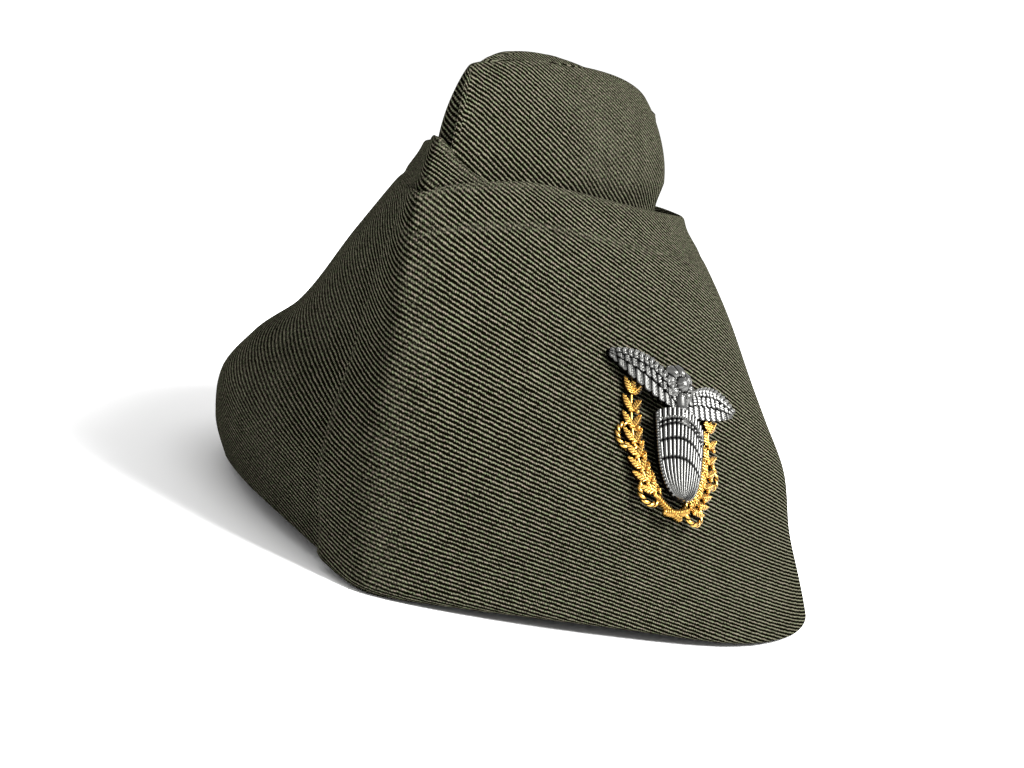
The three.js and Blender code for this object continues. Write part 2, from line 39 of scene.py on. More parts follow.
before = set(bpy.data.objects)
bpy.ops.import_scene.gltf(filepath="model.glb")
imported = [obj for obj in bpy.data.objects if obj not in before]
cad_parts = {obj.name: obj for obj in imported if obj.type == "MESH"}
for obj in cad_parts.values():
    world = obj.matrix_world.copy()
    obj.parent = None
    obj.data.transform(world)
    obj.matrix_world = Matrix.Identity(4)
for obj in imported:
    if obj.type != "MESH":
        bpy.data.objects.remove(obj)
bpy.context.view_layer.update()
MM = 0.001


def node_box(name):
    """Lowest and highest corner of a CAD node in millimetres."""
    low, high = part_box(name)
    return np.array(low) / MM, np.array(high) / MM


# The cap's sizes in millimetres, in its own frame: front at -Y, wearer's left at +X, rim on Z = 0.
# The cap's long axis lies on X = CENTRE_X, which the frame's boxes give.
RIM_WIDTH = 155.0
CURTAIN_HEIGHT = 90.0
CROWN_LEFT = 16.5
CROWN_RIGHT = 27.0
CROWN_LENGTH = 216.0
DOME_START = 98.0
TOP_LEAN = 17.5
CROWN_SHIFT = 1.6
CROWN_LEAN = 4.8
CLOTH_WALL = 1.5
PANEL_WALL = 1.3
LAYER_GAP = 0.7
LAYER_DEPTH = CLOTH_WALL + LAYER_GAP
HEM_DEPTH = CLOTH_WALL + LAYER_GAP + PANEL_WALL
SEAM_GAP = 0.4
LEFT_RIM_LIFT = 2.2
RIGHT_RIM_LIFT = 3.0
LAP_REACH = 13.0
FLAP_TURN = 48.0
CLEAR_TURN = 60.0
GUSSET_WIDTH = 13.0
GUSSET_GAP = 0.6
GUSSET_DIP = 4.0
GUSSET_REACH = 0.9
GUSSET_END = 0.85
RIDGE_DROP = 7.0
FRONT_GROOVE = 2.4
FRONT_GROOVE_WIDTH = 4.5
DOME_SETBACK = 6.0
DOME_BOW = 1.7
REAR_TAPER = 1.5
CROWN_TAPER = 1.6
CROWN_REAR = 0.9
RIDGE_ROUND = 0.38
TIP_DEPTH = 1.5
CROWN_FREE = 1.15
RIM_LENGTH = float(node_box("left_curtain")[1][1] - node_box("left_curtain")[0][1])
CROWN_HEIGHT = float(node_box("left_crown_panel")[1][2])

# Plan sections of the curtains. up is a share of CURTAIN_HEIGHT, left and right are shares of
# half the rim width, length is a share of half the rim length, lean is a share of TOP_LEAN, and
# taper is the power of the sine that draws the front half of the plan.
SECTIONS = {
    "up": [0.0, 0.12, 0.25, 0.37, 0.5, 0.75, 0.9, 0.98, 1.06, 1.12],
    "left": [1.03, 0.995, 0.955, 0.9, 0.795, 0.625, 0.48, 0.37, 0.31, 0.3],
    "right": [0.98, 1.03, 1.005, 0.925, 0.775, 0.585, 0.47, 0.4, 0.345, 0.335],
    "length": [1.0, 1.0, 0.998, 0.997, 0.99, 0.96, 0.94, 0.93, 0.925, 0.92],
    "lean": [0.0, 0.17, 0.35, 0.41, 0.48, 0.78, 0.91, 0.98, 1.0, 1.0],
    "taper": [2.35, 2.2, 2.0, 2.15, 2.3, 2.9, 3.05, 3.1, 3.1, 3.1],
}
# Height of the turned-up edges round the cap as shares of CURTAIN_HEIGHT, by the turn from the
# front ridge.
LEFT_EDGE = {
    "turn": [-60, 0, 25, 55, 90, 150, 180],
    "height": [0.955, 0.957, 1.0, 1.045, 1.03, 0.99, 0.98],
}
RIGHT_EDGE = {
    "turn": [-48, -30, 0, 25, 55, 90, 150, 180],
    "height": [0.985, 1.03, 1.095, 1.075, 1.055, 1.03, 0.99, 0.98],
}
CENTRE_X = float(node_box("left_curtain")[1][0]) - SECTIONS["left"][0] * RIM_WIDTH / 2
# Turns in degrees from the front ridge between which a second layer of curtain lies over the
# crown's wall: it fades in between the first two and out between the last two.
TWO_LAYERS = (-75, -42, 62, 84)
# Heights, as shares of CURTAIN_HEIGHT, between which the crown is drawn in from the curtains,
# takes its own plan and gets the groove of its front seam.
DRAWN_IN = (0.68, 1.05)
OWN_PLAN = (0.9, 1.1)
GROOVED = (0.9, 1.05)
# Rows that round a sheet's border, and the share of its turn that the last one takes, so that
# the two faces don't meet in one line.
BORDER = 4
BORDER_END = 0.97
# Last turn of the curtains at the rear ridge, and the first and last turns of the crown panels.
CURTAIN_END = 179.6
PANEL_ENDS = (0.7, 179.3)
# Millimetres from the lap's end to where the right curtain starts to rise from under it.
LAP_CLEAR = 0.6
# Heights in millimetres of the crown panels' lowest row and of the row where their rows draw
# closer, and the last share of the dome's bow.
PANEL_FOOT = 5.0
PANEL_CLOSER = 60.0
BOW_END = 0.985
# Millimetres up the curtains' walls: the foot that isn't turned in, and the raise of the rim.
FOOT_CLEAR = 2.6
RIM_RAISE = 0.42
# Millimetres below the turned edge: its roll, the line pressed into the cloth, and the place
# where the slow waves have their whole height.
ROLL_HEIGHT = 0.3
ROLL_REACH = 2.4
PRESSED_LINE = 9.0
PRESSED_DEPTH = 0.45
PRESSED_WIDTH = 1.2
WAVES_WHOLE = 12.0
# Slow waves of the cloth: each one's share of the height, its radians for each millimetre across
# the cap, along it and up it, and its start.
WAVES = {
    "height": [1.0, 1.0, 0.7, 0.5],
    "across": [0.0, 1 / 11, 0.0, 0.0],
    "along": [1 / 9, 0.0, 1 / 23, 1 / 31],
    "up": [1 / 14, -1 / 8, -1 / 17, 1 / 5.5],
    "start": [0.0, 1.3, 0.4, 0.0],
}
# Fuzz over the ribs, from 0 for clean ribs to 1 for fuzz alone, and how far it reaches in
# millimetres. It is wear at the rim, the pressed line, the lap, the seams and the gusset; wear and
# a painted sheen highlight at the turned edge; a painted sheen highlight on the crown's sides;
# painted shade beside the front ridge; and plain fuzz on the right curtain's side.
EDGE_WEAR_AND_SHEEN = 0.75
EDGE_REACH = 1.7
RIM_WEAR = 0.3
LINE_WEAR = 0.6
LINE_REACH = 1.1
LAP_WEAR = 0.6
RIDGE_PAINTED_SHADE = 0.4
RIDGE_REACH = 9.0
SIDE_FUZZ = 0.5
SEAM_WEAR = 0.5
SEAM_REACH = 2.5
CROWN_FUZZ_SHEEN = 0.55
GUSSET_WEAR = 0.2
# Slope of the ribs to the level, in ribs' pitches per millimetre run, at the rim and at the
# curtains' edge, and their count up each millimetre of wall, which eases towards the edge.
SLOPE_LOW = 0.17
SLOPE_HIGH = 0.285
RIB_CLIMB = 1.1
CLIMB_EASE = 0.16
YARN_LEAN = 0.2
CROWN_SCALE = 0.78
# Noise in the cloth: repeats in a millimetre, detail, and how far it goes from end to end.
WANDER = (0.35, 2.0, 0.5)
SHAKE = (1.6, 2.0, 0.32)
FLECK = (1.5, 4.0, 2.0)
FRAY = (3.2, 4.0, 1.05)
FUZZ = (1.9, 5.0, 2.2)
PATCH = (0.12, 3.0, 0.16)
FLECK_TONE = 1.05
FUZZ_TONE = 0.48
# Shape of the ribs: the power of their cosine, and the slant and share of the yarns over them.
CREST_POWER = 1.6
YARN_SLANT = 0.75
YARN_SHARE = 0.38
# Casts of single yarns, which multiply the cloth's colour.
GREENISH = (0.86, 1.0, 0.82)
REDDISH = (1.16, 0.98, 1.1)
CAST_REPEATS = 1.3

# Places of a badge plate's front grid to each one of its back.
BACK_STEP = 4
# The badge's sizes in millimetres, before it is bent onto the cloth.
GOLD_PLATE = 1.3
SILVER_BACK = GOLD_PLATE + 0.5
SILVER_PLATE = 1.5
LOOP_RADIUS = 3.1
CORD_RADIUS = 0.62
ROSETTE_RADIUS = 5.4
ROSETTE_RISE = 12.6
PETALS = 8
SHELL_TOP = 2.8
SHELL_ARCH = 2.4
SHELL_SWELL = 1.7
SHELL_RIBS = 13
GROWTH_LINES = (0.12, 0.17, 0.34, 0.56)
NECK_ENDS = (9.2, 1.6)
NECK_RINGS = (0.45, 0.62)
# Edges of a wing from its root out, as shares of half the span and of the wing's rise.
WING_LEAD = [(0.06, 0.655), (0.3, 1.17), (0.62, 1.24), (1.0, 1.0)]
WING_TRAIL = [(0.06, 0.38), (0.3, 0.41), (0.62, 0.54), (1.0, 0.92)]
# The wing's tiers of feathers from the leading edge: how many, where each ends as a share of the
# way across the wing, and how far its round tips stand out.
FEATHERS = (14, 11, 9)
TIER_ENDS = (0.24, 0.52)
TIER_TIPS = (0.05, 0.06)
# Control places of a spray's stem, out to its side and up.
SPRAY_STEM = [(-3.0, -20.5), (15.0, -18.0), (13.6, 7.5)]
STEM_RADIUS = 0.55
WRAP_RADIUS = 0.85
LEAF_PAIRS = 8
LEAF_WIDTH = 2.35
LEAF_ANGLE = 0.62
BERRY_RADIUS = 0.55
# Places of the cord loops and of the top leaf along the stem.
LOOP_PLACES = (0.72, 0.3)
TOP_LEAF = 0.98
# Colours of the painted shade in the metals' hollows, and the plain post's own colour and the
# painted shade of its hollows.
SILVER_HOLLOW_SHADE = (0.002, 0.002, 0.002)
GOLD_HOLLOW_SHADE = (0.008, 0.003, 0.001)
POST_PALE = (0.6, 0.55, 0.42)
POST_HOLLOW_SHADE = (0.3, 0.27, 0.2)
# Fine noise in the metals: repeats in a metre, and its share of the roughness.
GRAIN = 900.0
GRAIN_SHARE = 0.15
HOLLOW_SHARE = 0.3

# The picture: the height of the point that the camera turns round, the picture's width in
# pixels, the sensor's in millimetres, and that point's place right and down of the middle.
PIVOT_HEIGHT = 60.0
PICTURE_WIDTH = 1024
SENSOR = 36.0
PIVOT_RIGHT = 70.9
PIVOT_DOWN = -64.1
# The key light's place in metres right of the pivot, up and towards the camera, and its size.
KEY_PLACE = (1.05, 0.62, 0.5)
KEY_SIZE = 0.55
FLOOR_RADIUS = 12.0
FLOOR_TONE = 0.95


class ClothSettings(bpy.types.PropertyGroup):
    """Sizes and colours of the cloth's surface."""

    twill_pitch: FloatProperty(
        name="Twill pitch",
        description="Distance from one rib to the next",
        default=0.001,
        unit="LENGTH",
    )
    yarn_pitch: FloatProperty(
        name="Yarn pitch",
        description="Distance between the short slanted yarns along a rib",
        default=0.00072,
        unit="LENGTH",
    )
    rib_depth: FloatProperty(
        name="Rib depth",
        description="Height of the ribs over the gaps between them",
        default=0.0003,
        unit="LENGTH",
    )
    columns: IntProperty(
        name="Columns",
        description="Mesh columns from the front ridge round to the rear one",
        default=230,
    )
    rows: IntProperty(
        name="Rows",
        description="Mesh rows from the rim to a curtain's edge",
        default=130,
    )
    ripple: FloatProperty(
        name="Ripple",
        description="Height of the cloth's slow waves",
        default=0.00045,
        unit="LENGTH",
    )
    # Painted shade: the near-black colour between the ribs stands for the shade in the gaps.
    gap_shade: FloatVectorProperty(
        name="Dark",
        description="Colour between the ribs",
        default=(0.001, 0.0009, 0.0003),
        subtype="COLOR",
    )
    # Painted highlight: the crests' pale colour is a highlight, far paler than the ribs' middle
    # tone.
    pale: FloatVectorProperty(
        name="Pale",
        description="Colour of the ribs' crests",
        default=(0.134, 0.134, 0.095),
        subtype="COLOR",
    )


class BadgeSettings(bpy.types.PropertyGroup):
    """Place, sizes and colours of the badge."""

    turn: FloatProperty(
        name="Turn",
        description="Badge centre, round from the front ridge",
        default=np.radians(61.5),
        subtype="ANGLE",
    )
    tilt: FloatProperty(
        name="Tilt",
        description="The badge's top leans this far towards the rear",
        default=np.radians(18.0),
        subtype="ANGLE",
    )
    facing: FloatProperty(
        name="Facing",
        description="The badge faces this much further forward than the cloth",
        default=np.radians(6.0),
        subtype="ANGLE",
    )
    rise: FloatProperty(
        name="Rise",
        description="Badge centre above the rim",
        default=0.0445,
        unit="LENGTH",
    )
    standoff: FloatProperty(
        name="Standoff",
        description="Badge back above the cloth",
        default=0.0027,
        unit="LENGTH",
    )
    bend: FloatProperty(
        name="Bend",
        description="Radius that the badge is bent to",
        default=0.09,
        unit="LENGTH",
    )
    wing_span: FloatProperty(
        name="Wing span", description="Tip to tip", default=0.044, unit="LENGTH"
    )
    wing_rise: FloatProperty(
        name="Wing rise",
        description="Wing tips above the badge centre",
        default=0.0145,
        unit="LENGTH",
    )
    shell_width: FloatProperty(
        name="Shell width",
        description="Across the fan shell",
        default=0.016,
        unit="LENGTH",
    )
    shell_height: FloatProperty(
        name="Shell height",
        description="Top of the fan shell to its point",
        default=0.02,
        unit="LENGTH",
    )
    # The silver is far darker than bright silver: partly the badge's own darker finish, partly
    # painted shade standing in for the dark surroundings that it would reflect.
    silver: FloatVectorProperty(
        name="Silver",
        description="Colour of the wings, rosette and shell",
        default=(0.11, 0.11, 0.105),
        subtype="COLOR",
    )
    gold: FloatVectorProperty(
        name="Gold",
        description="Colour of the sprays",
        default=(0.5, 0.29, 0.07),
        subtype="COLOR",
    )


class StageSettings(bpy.types.PropertyGroup):
    """Camera and light."""

    azimuth: FloatProperty(
        name="Azimuth",
        description="Camera's turn from the front to the wearer's left",
        default=np.radians(13.0),
        subtype="ANGLE",
    )
    elevation: FloatProperty(
        name="Elevation",
        description="Camera's angle above the level",
        default=np.radians(5.59),
        subtype="ANGLE",
    )
    roll: FloatProperty(
        name="Roll",
        description="Clockwise turn of the picture",
        default=np.radians(17.72),
        subtype="ANGLE",
    )
    distance: FloatProperty(
        name="Distance",
        description="Camera to the pivot",
        default=0.66427,
        unit="LENGTH",
    )
    lens: FloatProperty(
        name="Lens", description="Focal length in millimetres", default=88.95
    )
    key_power: FloatProperty(
        name="Key light", description="Power of the key light in watts", default=60.0
    )
    sky: FloatProperty(name="Sky", description="Strength of the pale sky", default=1.1)


def curve(x, table, by, key):
    """A table's column at x: cubic pieces between the rows, with harmonic mean slopes, so that it
    never overshoots."""
    xs = np.array(table[by], float)
    ys = np.array(table[key], float)
    x = np.clip(np.asarray(x, float), xs[0], xs[-1])
    slope = np.diff(ys) / np.diff(xs)
    product = slope[:-1] * slope[1:]
    total = np.where(product > 0, slope[:-1] + slope[1:], 1.0)
    inner = np.where(product > 0, 2 * product / total, 0.0)
    tangent = np.concatenate([slope[:1], inner, slope[-1:]])
    i = np.clip(np.searchsorted(xs, x) - 1, 0, len(xs) - 2)
    span = xs[i + 1] - xs[i]
    t = (x - xs[i]) / span
    start = ys[i] * (1 + 2 * t) * (1 - t) ** 2 + tangent[i] * span * t * (1 - t) ** 2
    end = ys[i + 1] * t * t * (3 - 2 * t) + tangent[i + 1] * span * t * t * (t - 1)
    return start + end


def section(key, up):
    """Column key of the curtains' sections at height up."""
    return curve(up, SECTIONS, "up", key)


def smoothstep(x, low, high):
    """0 below low, 1 above high and 3t^2 - 2t^3 between."""
    t = np.clip((x - low) / (high - low), 0, 1)
    return t * t * (3 - 2 * t)


def hump(x, at, width):
    """A bell curve: e to the power of minus the square of the distance from at, in widths."""
    return np.exp(-(((x - at) / width) ** 2))


def blend(a, b, share):
    """a plus share of the way to b."""
    return a + (b - a) * share


def points(x, y, z):
    """Three arrays as one array of points."""
    return np.stack(np.broadcast_arrays(x, y, z), -1)


def plan_shares(turn, front, rear):
    """Shares of the half width and half length: the width is mostly a power of the sine, and the
    length is the cosine."""
    sine = np.sin(np.radians(turn))
    taper = np.where(np.abs(turn) < 90, front, rear)
    side = (1 - RIDGE_ROUND) * np.abs(sine) ** taper + RIDGE_ROUND * np.abs(sine)
    return np.sign(sine) * side, np.cos(np.radians(turn))


def turn_across(x, up):
    """Turn at which the curtains' plan lies x to the left of the front ridge, found by halving."""
    x, up = np.broadcast_arrays(np.asarray(x, float), np.asarray(up, float))
    half = np.where(x > 0, section("left", up), section("right", up)) * RIM_WIDTH / 2
    low = np.zeros_like(x)
    high = np.full_like(x, 90.0)
    for _ in range(24):
        middle = (low + high) / 2
        side, _ahead = plan_shares(middle, section("taper", up), REAR_TAPER)
        short = side * half < np.abs(x)
        low = np.where(short, middle, low)
        high = np.where(short, high, middle)
    return np.sign(x) * low


def rim_lift(turn, up):
    """Rise of the rim: a squared sine of twice the turn in the front quarters, which fades out up
    the wall."""
    lift = np.where(turn > 0, LEFT_RIM_LIFT, RIGHT_RIM_LIFT)
    fade = np.clip(1 - up, 0, None) ** 1.5
    rise = lift * np.sin(np.radians(2 * turn)) ** 2 * fade
    return np.where(np.abs(turn) >= 90, 0.0, rise)


def curtain_point(turn, up, depth):
    """Curtain surface: the plan section at height up, drawn in by depth, leaning to the wearer's
    right."""
    turn, up, depth = np.broadcast_arrays(turn, up, depth)
    side, ahead = plan_shares(turn, section("taper", up), REAR_TAPER)
    width = np.where(turn > 0, section("left", up), section("right", up))
    across = (width * RIM_WIDTH / 2 - depth) * side
    length = section("length", up) * RIM_LENGTH / 2 - TIP_DEPTH * depth
    lean = section("lean", up) * TOP_LEAN
    z = up * CURTAIN_HEIGHT + rim_lift(turn, up)
    return points(CENTRE_X + across - lean, -length * ahead, z)


def panel_depth(turn):
    """Depth of the crown panels: one layer in, and two where both curtains cross the front."""
    right_out, right_in, left_in, left_out = TWO_LAYERS
    under = smoothstep(turn, right_out, right_in) * (1 - smoothstep(turn, left_in, left_out))
    return LAYER_DEPTH * (1 + under)


def crown_shares(turn, up):
    """Plan shares of the crown, which changes from the curtains' tapers to its own."""
    own = smoothstep(up, *OWN_PLAN)
    front = blend(section("taper", up), CROWN_TAPER, own)
    return plan_shares(turn, front, blend(REAR_TAPER, CROWN_TAPER, own))


def crown_centre(up):
    """Distance of the crown's seams to the wearer's right."""
    return section("lean", up) * TOP_LEAN - CROWN_SHIFT * smoothstep(up, *OWN_PLAN)


def crown_lean_at(z):
    """Extra lean of the dome, even from its foot to its top."""
    return CROWN_LEAN * np.clip((z - DOME_START) / (CROWN_HEIGHT - DOME_START), 0, 1)


def crown_reach(ahead):
    """Reach of the crown along the cap: it is shorter behind than in front."""
    return CROWN_LENGTH / 2 * np.where(ahead > 0, 1.0, CROWN_REAR)


def crown_wall_point(turn, up, wall):
    """Crown wall: it lines the curtains low down and eases into the crown's own plan, never
    outside the lining."""
    turn, up, wall = np.broadcast_arrays(turn, up, wall)
    lining = curtain_point(turn, up, panel_depth(turn) + wall)
    drawn = smoothstep(up, *DRAWN_IN)
    side, ahead = crown_shares(turn, up)
    half = np.where(turn > 0, CROWN_LEFT, CROWN_RIGHT) - wall
    length = crown_reach(ahead) - TIP_DEPTH * wall
    dent = hump(half * side, 0, FRONT_GROOVE_WIDTH)
    groove = FRONT_GROOVE * smoothstep(up, *GROOVED) * dent * (ahead > 0)
    seam = CENTRE_X - crown_centre(up)
    x = blend(lining[..., 0], seam + half * side, drawn)
    hand = np.sign(turn)
    reach = np.minimum(np.abs(x - seam), np.clip((lining[..., 0] - seam) * hand, 0, None))
    x = np.where(up < CROWN_FREE, seam + np.sign(x - seam) * reach, x)
    y = blend(lining[..., 1], -length * ahead + groove, drawn)
    return points(x, y, lining[..., 2])


def ridge_half(ahead):
    """Half the distance between the two ridges: a parabola along the crown."""
    return GUSSET_WIDTH / 2 * np.clip(1 - (ahead / GUSSET_REACH) ** 2, 0, None)


def ridge_height(ahead):
    """Height of the ridges: a parabola that falls to either end."""
    return CROWN_HEIGHT - RIDGE_DROP * ahead**2


def dome_point(turn, bow, wall):
    """Dome over the crown wall: a quarter bow from the wall's top to the ridge."""
    turn, bow, wall = np.broadcast_arrays(turn, bow, wall)
    up = DOME_START / CURTAIN_HEIGHT
    foot = crown_wall_point(turn, up, wall)
    seam = CENTRE_X - crown_centre(up)
    centre = seam - crown_lean_at(foot[..., 2])
    _side, ahead = crown_shares(turn, up)
    edge = np.sign(turn) * np.maximum(ridge_half(ahead), SEAM_GAP / 2)
    angle = bow * np.pi / 2
    across = edge + (foot[..., 0] - centre - edge) * np.cos(angle) ** DOME_BOW
    z = foot[..., 2] + (ridge_height(ahead) - wall - foot[..., 2]) * np.sin(angle)
    setback = DOME_SETBACK * np.sign(ahead) * ahead**2 * bow
    return points(seam - crown_lean_at(z + wall * bow) + across, foot[..., 1] + setback, z)


def unit(vectors):
    """Vectors scaled to length one."""
    return vectors / np.maximum(np.linalg.norm(vectors, axis=-1, keepdims=True), 1e-9)


def path_lengths(grid, axis):
    """Distance run along one axis of a grid, from its first point."""
    steps = np.linalg.norm(np.diff(grid, axis=axis), axis=-1)
    start = np.zeros_like(np.take(steps, [0], axis))
    return np.concatenate([start, np.cumsum(steps, axis)], axis)


def round_border(outer, inner, uv):
    """Adds rows before and after a sheet that turn its outer face over to its inner one in half a
    circle: each row is the middle of the edge, plus the half thickness times the cosine, plus the
    way out times the sine."""
    angles = np.linspace(0, np.pi / 2, BORDER + 1)[1:]
    angles[-1] *= BORDER_END
    new_outer, new_inner, new_uv = [outer], [inner], [uv]
    for edge, beside, before in ((0, 1, True), (-1, -2, False)):
        middle = (outer[edge] + inner[edge]) / 2
        half = (outer[edge] - inner[edge]) / 2
        away = unit(middle - (outer[beside] + inner[beside]) / 2)
        reach = away * np.linalg.norm(half, axis=-1, keepdims=True)
        cos = np.cos(angles)[:, None, None]
        sin = np.sin(angles)[:, None, None]
        extra_outer = middle + half * cos + reach * sin
        extra_inner = middle - half * cos + reach * sin
        onward = unit(uv[edge] - uv[beside])
        run = np.linalg.norm(half, axis=-1)[None, :, None] * angles[:, None, None]
        extra_uv = uv[edge] + onward * run
        if before:
            new_outer.insert(0, extra_outer[::-1])
            new_inner.insert(0, extra_inner[::-1])
            new_uv.insert(0, extra_uv[::-1])
        else:
            new_outer.append(extra_outer)
            new_inner.append(extra_inner)
            new_uv.append(extra_uv)
    return np.concatenate(new_outer), np.concatenate(new_inner), np.concatenate(new_uv)


def swap(grid):
    """Rows and columns of a grid changed over."""
    return np.swapaxes(grid, 0, 1)


def cell_quads(index, closed_columns=False):
    """Quads between neighbours of a grid of vertex numbers."""
    if closed_columns:
        index = np.concatenate([index, index[:, :1]], 1)
    corners = (index[:-1, :-1], index[1:, :-1], index[1:, 1:], index[:-1, 1:])
    return np.stack(corners, -1).reshape(-1, 4)


def closed_quads(front, back, near):
    """Quads of a closed sheet: a front and a back grid of vertex numbers, and a strip between them
    along each side. near holds the back's number that is nearest to each place of the front, and
    where two neighbours share one, the quad's last two corners agree."""
    faces = [cell_quads(front), cell_quads(back)[:, ::-1]]
    for side in range(4):
        edge, foot = np.rot90(front, side)[0], np.rot90(near, side)[0]
        faces.append(np.stack([edge[:-1], edge[1:], foot[1:], foot[:-1]], -1))
    return np.concatenate(faces)


def sheet_shell(outer, inner, uv, wear_and_painted_light):
    """A closed sheet: two faces with rounded borders, joined along all four sides. The borders keep
    the wear and painted light of the rows and columns beside them."""
    outer, inner, uv = round_border(outer, inner, uv)
    outer, inner, uv = (swap(g) for g in round_border(swap(outer), swap(inner), swap(uv)))
    rows, columns = outer.shape[:2]
    verts = np.concatenate([outer.reshape(-1, 3), inner.reshape(-1, 3)])
    front = np.arange(rows * columns).reshape(rows, columns)
    back = front + front.size
    quads = facing_out(verts, closed_quads(front, back, back))
    wear_and_painted_light = np.broadcast_to(wear_and_painted_light, (rows - 2 * BORDER, columns - 2 * BORDER))
    wear_and_painted_light = np.pad(wear_and_painted_light, BORDER, mode="edge")
    return verts, quads, np.tile(uv.reshape(-1, 2), (2, 1)), np.tile(wear_and_painted_light.ravel(), 2)


def facing_out(verts, faces):
    """The faces, turned over where the closed mesh's volume comes out negative. A quad's last two
    corners stay last."""
    a, b, c = (verts[faces[:, k]] for k in range(3))
    volume = np.einsum("ij,ij->", a, np.cross(b, c))
    if faces.shape[1] == 4:
        d = verts[faces[:, 3]]
        volume += np.einsum("ij,ij->", a, np.cross(c, d))
    return faces if volume > 0 else np.roll(faces[:, ::-1], -2, axis=1)


def make_object(name, verts, face_sets, material, mark, values, uv=None):
    """A smooth mesh object in metres, from vertices in millimetres and arrays of quads or
    triangles. mark names an attribute that holds one value for each vertex."""
    mesh = bpy.data.meshes.new(name)
    mesh.vertices.add(len(verts))
    mesh.vertices.foreach_set("co", (verts * MM).ravel())
    loops = np.concatenate([faces.ravel() for faces in face_sets])
    sizes = np.concatenate([np.full(len(faces), faces.shape[1]) for faces in face_sets])
    mesh.loops.add(len(loops))
    mesh.loops.foreach_set("vertex_index", loops.astype(np.int32))
    mesh.polygons.add(len(sizes))
    starts = np.concatenate([[0], np.cumsum(sizes)[:-1]])
    mesh.polygons.foreach_set("loop_start", starts.astype(np.int32))
    mesh.update(calc_edges=True)
    if uv is not None:
        layer = mesh.uv_layers.new(name="cloth")
        layer.data.foreach_set("uv", uv[loops].ravel())
    shade = mesh.attributes.new(mark, "FLOAT", "POINT")
    shade.data.foreach_set("value", np.ascontiguousarray(values, dtype=np.float32))
    mesh.shade_smooth()
    mesh.materials.append(material)
    obj = bpy.data.objects.new(name, mesh)
    bpy.context.scene.collection.objects.link(obj)
    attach(obj, "root")
    return obj


def node(tree, kind, inputs=None, **settings):
    """A new shader node with its settings and plain input values."""
    made = tree.nodes.new(kind)
    for key, value in settings.items():
        setattr(made, key, value)
    for key, value in (inputs or {}).items():
        made.inputs[key].default_value = value
    return made


def maths(tree, operation, *values):
    """A math node's output, from sockets or numbers."""
    made = node(tree, "ShaderNodeMath", operation=operation)
    for socket, value in zip(made.inputs, values):
        if isinstance(value, bpy.types.NodeSocket):
            tree.links.new(value, socket)
        else:
            socket.default_value = value
    return made.outputs[0]


def ramp(tree, factor, stops):
    """A colour ramp's colour, stops given as place and colour."""
    made = node(tree, "ShaderNodeValToRGB")
    tree.links.new(factor, made.inputs["Fac"])
    elements = made.color_ramp.elements
    while len(elements) < len(stops):
        elements.new(0.5)
    for element, (place, colour) in zip(elements, stops):
        element.position = place
        element.color = (*colour, 1.0)
    return made.outputs["Color"]


def noise(tree, vector, scale, detail):
    """A noise texture's value over a vector."""
    made = node(tree, "ShaderNodeTexNoise", {"Scale": scale, "Detail": detail})
    tree.links.new(vector, made.inputs["Vector"])
    return made.outputs["Fac"]


def drift(tree, vector, kind):
    """Noise that goes either side of zero, from its repeats, detail and reach."""
    repeats, detail, reach = kind
    centred = maths(tree, "SUBTRACT", noise(tree, vector, repeats, detail), 0.5)
    return maths(tree, "MULTIPLY", centred, reach)


def raised_wave(tree, operation, phase):
    """A sine or cosine of the phase, moved to run from 0 to 1."""
    return maths(tree, "MULTIPLY_ADD", maths(tree, operation, phase), 0.5, 0.5)


def mixed(tree, a, b, share):
    """a plus share of the way to b, as a socket."""
    return maths(tree, "MULTIPLY_ADD", maths(tree, "SUBTRACT", b, a), share, a)


def new_material(name):
    """A material with nodes, its node tree and its shader."""
    material = bpy.data.materials.new(name)
    material.use_nodes = True
    return material, material.node_tree, material.node_tree.nodes["Principled BSDF"]


def add_bump(tree, shader, height, strength, distance):
    """Bump on a shader from a height between 0 and 1."""
    bump = node(tree, "ShaderNodeBump", {"Strength": strength, "Distance": distance})
    tree.links.new(height, bump.inputs["Height"])
    tree.links.new(bump.outputs[0], shader.inputs["Normal"])


